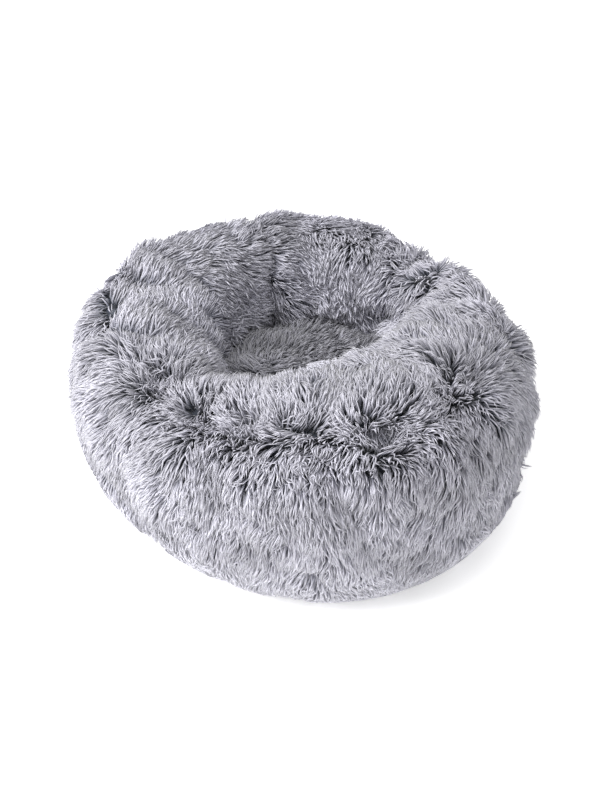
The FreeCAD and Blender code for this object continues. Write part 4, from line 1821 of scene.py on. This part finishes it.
@dataclass
class Zip:
    """Tapes, coils, stops, slider and pull in the rear of the base seam."""

    slot_gap: float = 1.1 * MM
    coil_wide: float = 2.4 * MM
    coil_deep: float = 1.8 * MM
    wire: float = 0.34 * MM
    pitch: float = 1.5 * MM
    coil_start: float = math.radians(41.3)
    coil_end: float = math.radians(135.0)
    tape_finish: Material = field(init=False)
    coil_finish: Material = field(init=False)
    metal_finish: Material = field(init=False)

    def __post_init__(self) -> None:
        """Mixes the finishes."""
        self.tape_finish = TapeFinish().build()
        self.coil_finish = CoilFinish().build()
        self.metal_finish = NickelFinish().build()

    def build(self) -> None:
        """Makes every piece of the zip."""
        for edge in ZipEdge:
            self.build_tape(edge)
            self.build_coil(edge)
        self.build_metal("top_stop_clips", "zip_top_stops", BODY, 0.25 * MM)
        self.build_metal("bottom_stop_clip", "zip_bottom_stop", BODY, 0.25 * MM)
        self.build_metal("slider_body", "zip_slider", "slider", 0.28 * MM)
        self.build_metal("pull_tab", "zip_pull", "pull", 0.32 * MM)

    def build_tape(self, edge: ZipEdge) -> None:
        """Woven band with a rounded fold: an outline of radius and height, carried round.

        Args:
            edge: Which half of the zip.
        """
        profile = TAPE_OUTLINES[edge] * MM + np.array([ZIP.radius, 0.0])
        angles = np.linspace(ZIP.start, ZIP.end, 260)
        ripple = 0.10 * MM * np.sin(46 * angles) + 0.07 * MM * np.sin(81 * angles + 1.0)
        clear = 1 - 0.9 * bump(angles - ZIP.closed, 0.05)
        middle = bump(profile[:, 1] - 12 * MM, 5 * MM) + bump(profile[:, 1] - 31 * MM, 4 * MM)
        sway = (ripple * clear)[:, None] * middle[None, :]
        tape = swept_object("zip_tape_" + edge.value + "_band", profile, angles, ZIP.centre, sway)
        declare(tape, self.tape_finish, BODY, "zip_tape", "zip_tape_" + edge.value)

    def build_coil(self, edge: ZipEdge) -> None:
        """Nylon coil: a flattened helix about the arc, swept with a round wire.

        The helix stands off the arc's middle by the coil's half depth times the cosine of its
        turn, and off its height by the half width times the sine.

        Args:
            edge: Which half of the zip.
        """
        side = -1.0 if edge is ZipEdge.LOWER else 1.0
        middle = ZIP.height + side * (self.slot_gap / 2 + self.coil_wide / 2)
        radius = ZIP.radius + ZIP.tape + 0.05 * MM + self.coil_deep / 2
        turns = int(radius * (self.coil_end - self.coil_start) / self.pitch)
        turn = np.linspace(0, math.tau * turns, turns * 9)
        angle = self.coil_start + (self.coil_end - self.coil_start) * turn / turn[-1]
        deep = self.coil_deep / 2 - self.wire
        wide = self.coil_wide / 2 - self.wire
        reach = radius + deep * np.cos(turn)
        points = polar(reach, angle, middle + wide * side * np.sin(turn)) + [*ZIP.centre, 0.0]
        ahead = unit(np.gradient(points, axis=0))
        out = polar(1.0, angle, 0 * angle)
        spoke = unit(np.cross(ahead, np.cross(out, ahead)) + 1e-6)
        other = np.cross(ahead, spoke)
        around = math.tau * np.arange(5) / 5
        ring = (spoke[:, None] * np.cos(around)[None, :, None]
                + other[:, None] * np.sin(around)[None, :, None]) * self.wire
        grid = points[:, None] + ring
        coil = lathe_object("zip_coil_" + edge.value + "_wire", grid)
        coil.data.flip_normals()
        declare(coil, self.coil_finish, BODY, "zip_coil", "zip_coil_" + edge.value)
        LOG.info("%s: %d turns", coil.name, turns)

    def build_metal(self, name: str, node: str, body: str, edge: float) -> None:
        """Copy of a stamped metal node with its edges rolled over.

        Args:
            name: Name of the piece.
            node: Node that it stands for.
            body: Body that it rides on.
            edge: Width of the rolled edges.
        """
        mesh = bmesh.new()
        mesh.from_mesh(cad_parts[node].data)
        bmesh.ops.remove_doubles(mesh, verts=mesh.verts, dist=0.01 * MM)
        bmesh.ops.dissolve_limit(mesh, angle_limit=math.radians(2), verts=mesh.verts,
                                 edges=mesh.edges)
        sharp = [line for line in mesh.edges
                 if line.is_manifold and line.calc_face_angle() > math.radians(40)]
        bmesh.ops.bevel(mesh, geom=sharp, offset=edge, segments=3, profile=0.6, affect="EDGES",
                        clamp_overlap=True)
        data = bpy.data.meshes.new(name)
        mesh.to_mesh(data)
        mesh.free()
        piece = new_object(name, data)
        data.polygons.foreach_set("use_smooth", np.ones(len(data.polygons), bool))
        data.set_sharp_from_angle(angle=math.radians(35))
        declare(piece, self.metal_finish, body, "zip_metal", node)


# ---------------------------------------------------------------- care label

@dataclass
class CareLabel:
    """Blank folded label sewn into the base seam beside the zip."""

    middle: float = math.radians(60)
    half: float = math.radians(3.4)
    foot: float = 2.0 * MM
    top: float = 13.8 * MM
    cloth: float = 0.13 * MM

    def build(self) -> None:
        """Folds a strip on itself: up the inner side, over a round fold and down the outer.

        The strip's middle line is a hairpin in radius and height; it leans out and curls a
        little along its length, and its thickness is laid to both sides of the line.
        """
        rise = np.linspace(self.foot, self.top - 0.3 * MM, 14)
        bend = np.linspace(math.pi, 0, 7)[1:-1]
        radius = ZIP.radius + ZIP.tape + 0.35 * MM
        line_r = np.concatenate([np.full(14, radius - 0.2 * MM), radius + 0.2 * MM * np.cos(bend),
                                 np.full(14, radius + 0.2 * MM)])
        line_z = np.concatenate([rise, self.top - 0.3 * MM + 0.25 * MM * np.sin(bend), rise[::-1]])
        line = np.stack([line_r, line_z], axis=1)
        ahead = unit(np.gradient(line, axis=0))
        normal = np.stack([-ahead[:, 1], ahead[:, 0]], axis=1) * self.cloth / 2
        profile = np.concatenate([line + normal, (line - normal)[::-1]])[::-1]
        angles = np.linspace(self.middle - self.half, self.middle + self.half, 40)
        curl = 0.5 * MM * (1 + np.sin((angles - self.middle) * 36)) * 0.5
        share = np.clip((profile[:, 1] - self.foot) / (self.top - self.foot), 0, 1) ** 2
        label = swept_object("care_label_loop", profile, angles, ZIP.centre,
                             curl[:, None] * share[None, :])
        declare(label, SatinFinish().build(), BODY, "label_cloth", "care_label")


# ---------------------------------------------------------------- stage

@dataclass(frozen=True)
class Studio:
    """Camera, soft lights and pale floor."""

    elevation: float = math.radians(36.9)
    distance: float = 1.6
    aim: tuple[float, float, float] = (0.001, 0.0, 0.0935)
    lens: float = 67.48
    floor_size: float = 60.0

    def build(self) -> None:
        """Makes the stage."""
        scene = bpy.context.scene
        scene.view_settings.view_transform = "Standard"
        camera = bpy.data.objects.new("camera", bpy.data.cameras.new("camera"))
        scene.collection.objects.link(camera)
        camera.data.lens = self.lens
        camera.data.sensor_width = 36.0
        back = Vector((0.0, -math.cos(self.elevation), math.sin(self.elevation)))
        camera.location = Vector(self.aim) + back * self.distance
        camera.rotation_euler = (-back).to_track_quat("-Z", "Y").to_euler()
        scene.camera = camera
        self.add_light("key", (-2.4, -0.7, 1.8), 2.2, 130.0)
        self.add_light("fill", (-0.2, -2.3, 1.9), 2.4, 13.0)
        self.add_light("top", (0.0, -0.3, 2.6), 2.0, 33.0)
        self.add_world()
        self.add_floor()

    def add_light(self, name: str, place: tuple[float, float, float], size: float,
                  power: float) -> None:
        """Soft square light that faces the bed.

        Args:
            name: Name of the light.
            place: Its middle.
            size: Length of its sides.
            power: Its power in watts.
        """
        data = bpy.data.lights.new(name, "AREA")
        data.size = size
        data.energy = power
        lamp = bpy.data.objects.new(name, data)
        lamp.location = place
        aim = Vector((0, 0, 0.1)) - Vector(place)
        lamp.rotation_euler = aim.to_track_quat("-Z", "Y").to_euler()
        bpy.context.scene.collection.objects.link(lamp)

    def add_world(self) -> None:
        """Even pale surroundings."""
        world = bpy.data.worlds.new("surroundings")
        bpy.context.scene.world = world
        world.use_nodes = True
        background = world.node_tree.nodes["Background"]
        background.inputs["Color"].default_value = (1.0, 1.0, 1.0, 1.0)
        background.inputs["Strength"].default_value = 0.47

    def add_floor(self) -> None:
        """Plain pale floor."""
        half = self.floor_size / 2
        corners = np.array([[-half, -half, 0], [half, -half, 0], [half, half, 0], [-half, half, 0]])
        floor = fill_mesh("floor", corners, np.arange(4), np.array([4]))
        nodes = Nodes("floor_white")
        nodes.shade({"Base Color": (0.96, 0.96, 0.96, 1.0), "Emission Color": (1.0,) * 4,
                     "Emission Strength": 0.45, "Roughness": 0.9})
        floor.data.materials.append(nodes.material)


def main() -> None:
    """Builds the bed, piece by piece, and its stage."""
    logging.basicConfig(level=logging.INFO, format="%(message)s")
    builder = PileBuilder(8)
    finish = PileFinish().build()
    Bolster(builder, finish).build()
    # The seat's pile finish is a darker copy of the bolster's: painted shade for the seat down in
    # the hollow.
    Seat(builder, PileFinish("seat_pile", darkest=0.36, lightest=0.78).build()).build()
    Base().build()
    Zip().build()
    CareLabel().build()
    Studio().build()


if __name__ == "__main__":
    main()
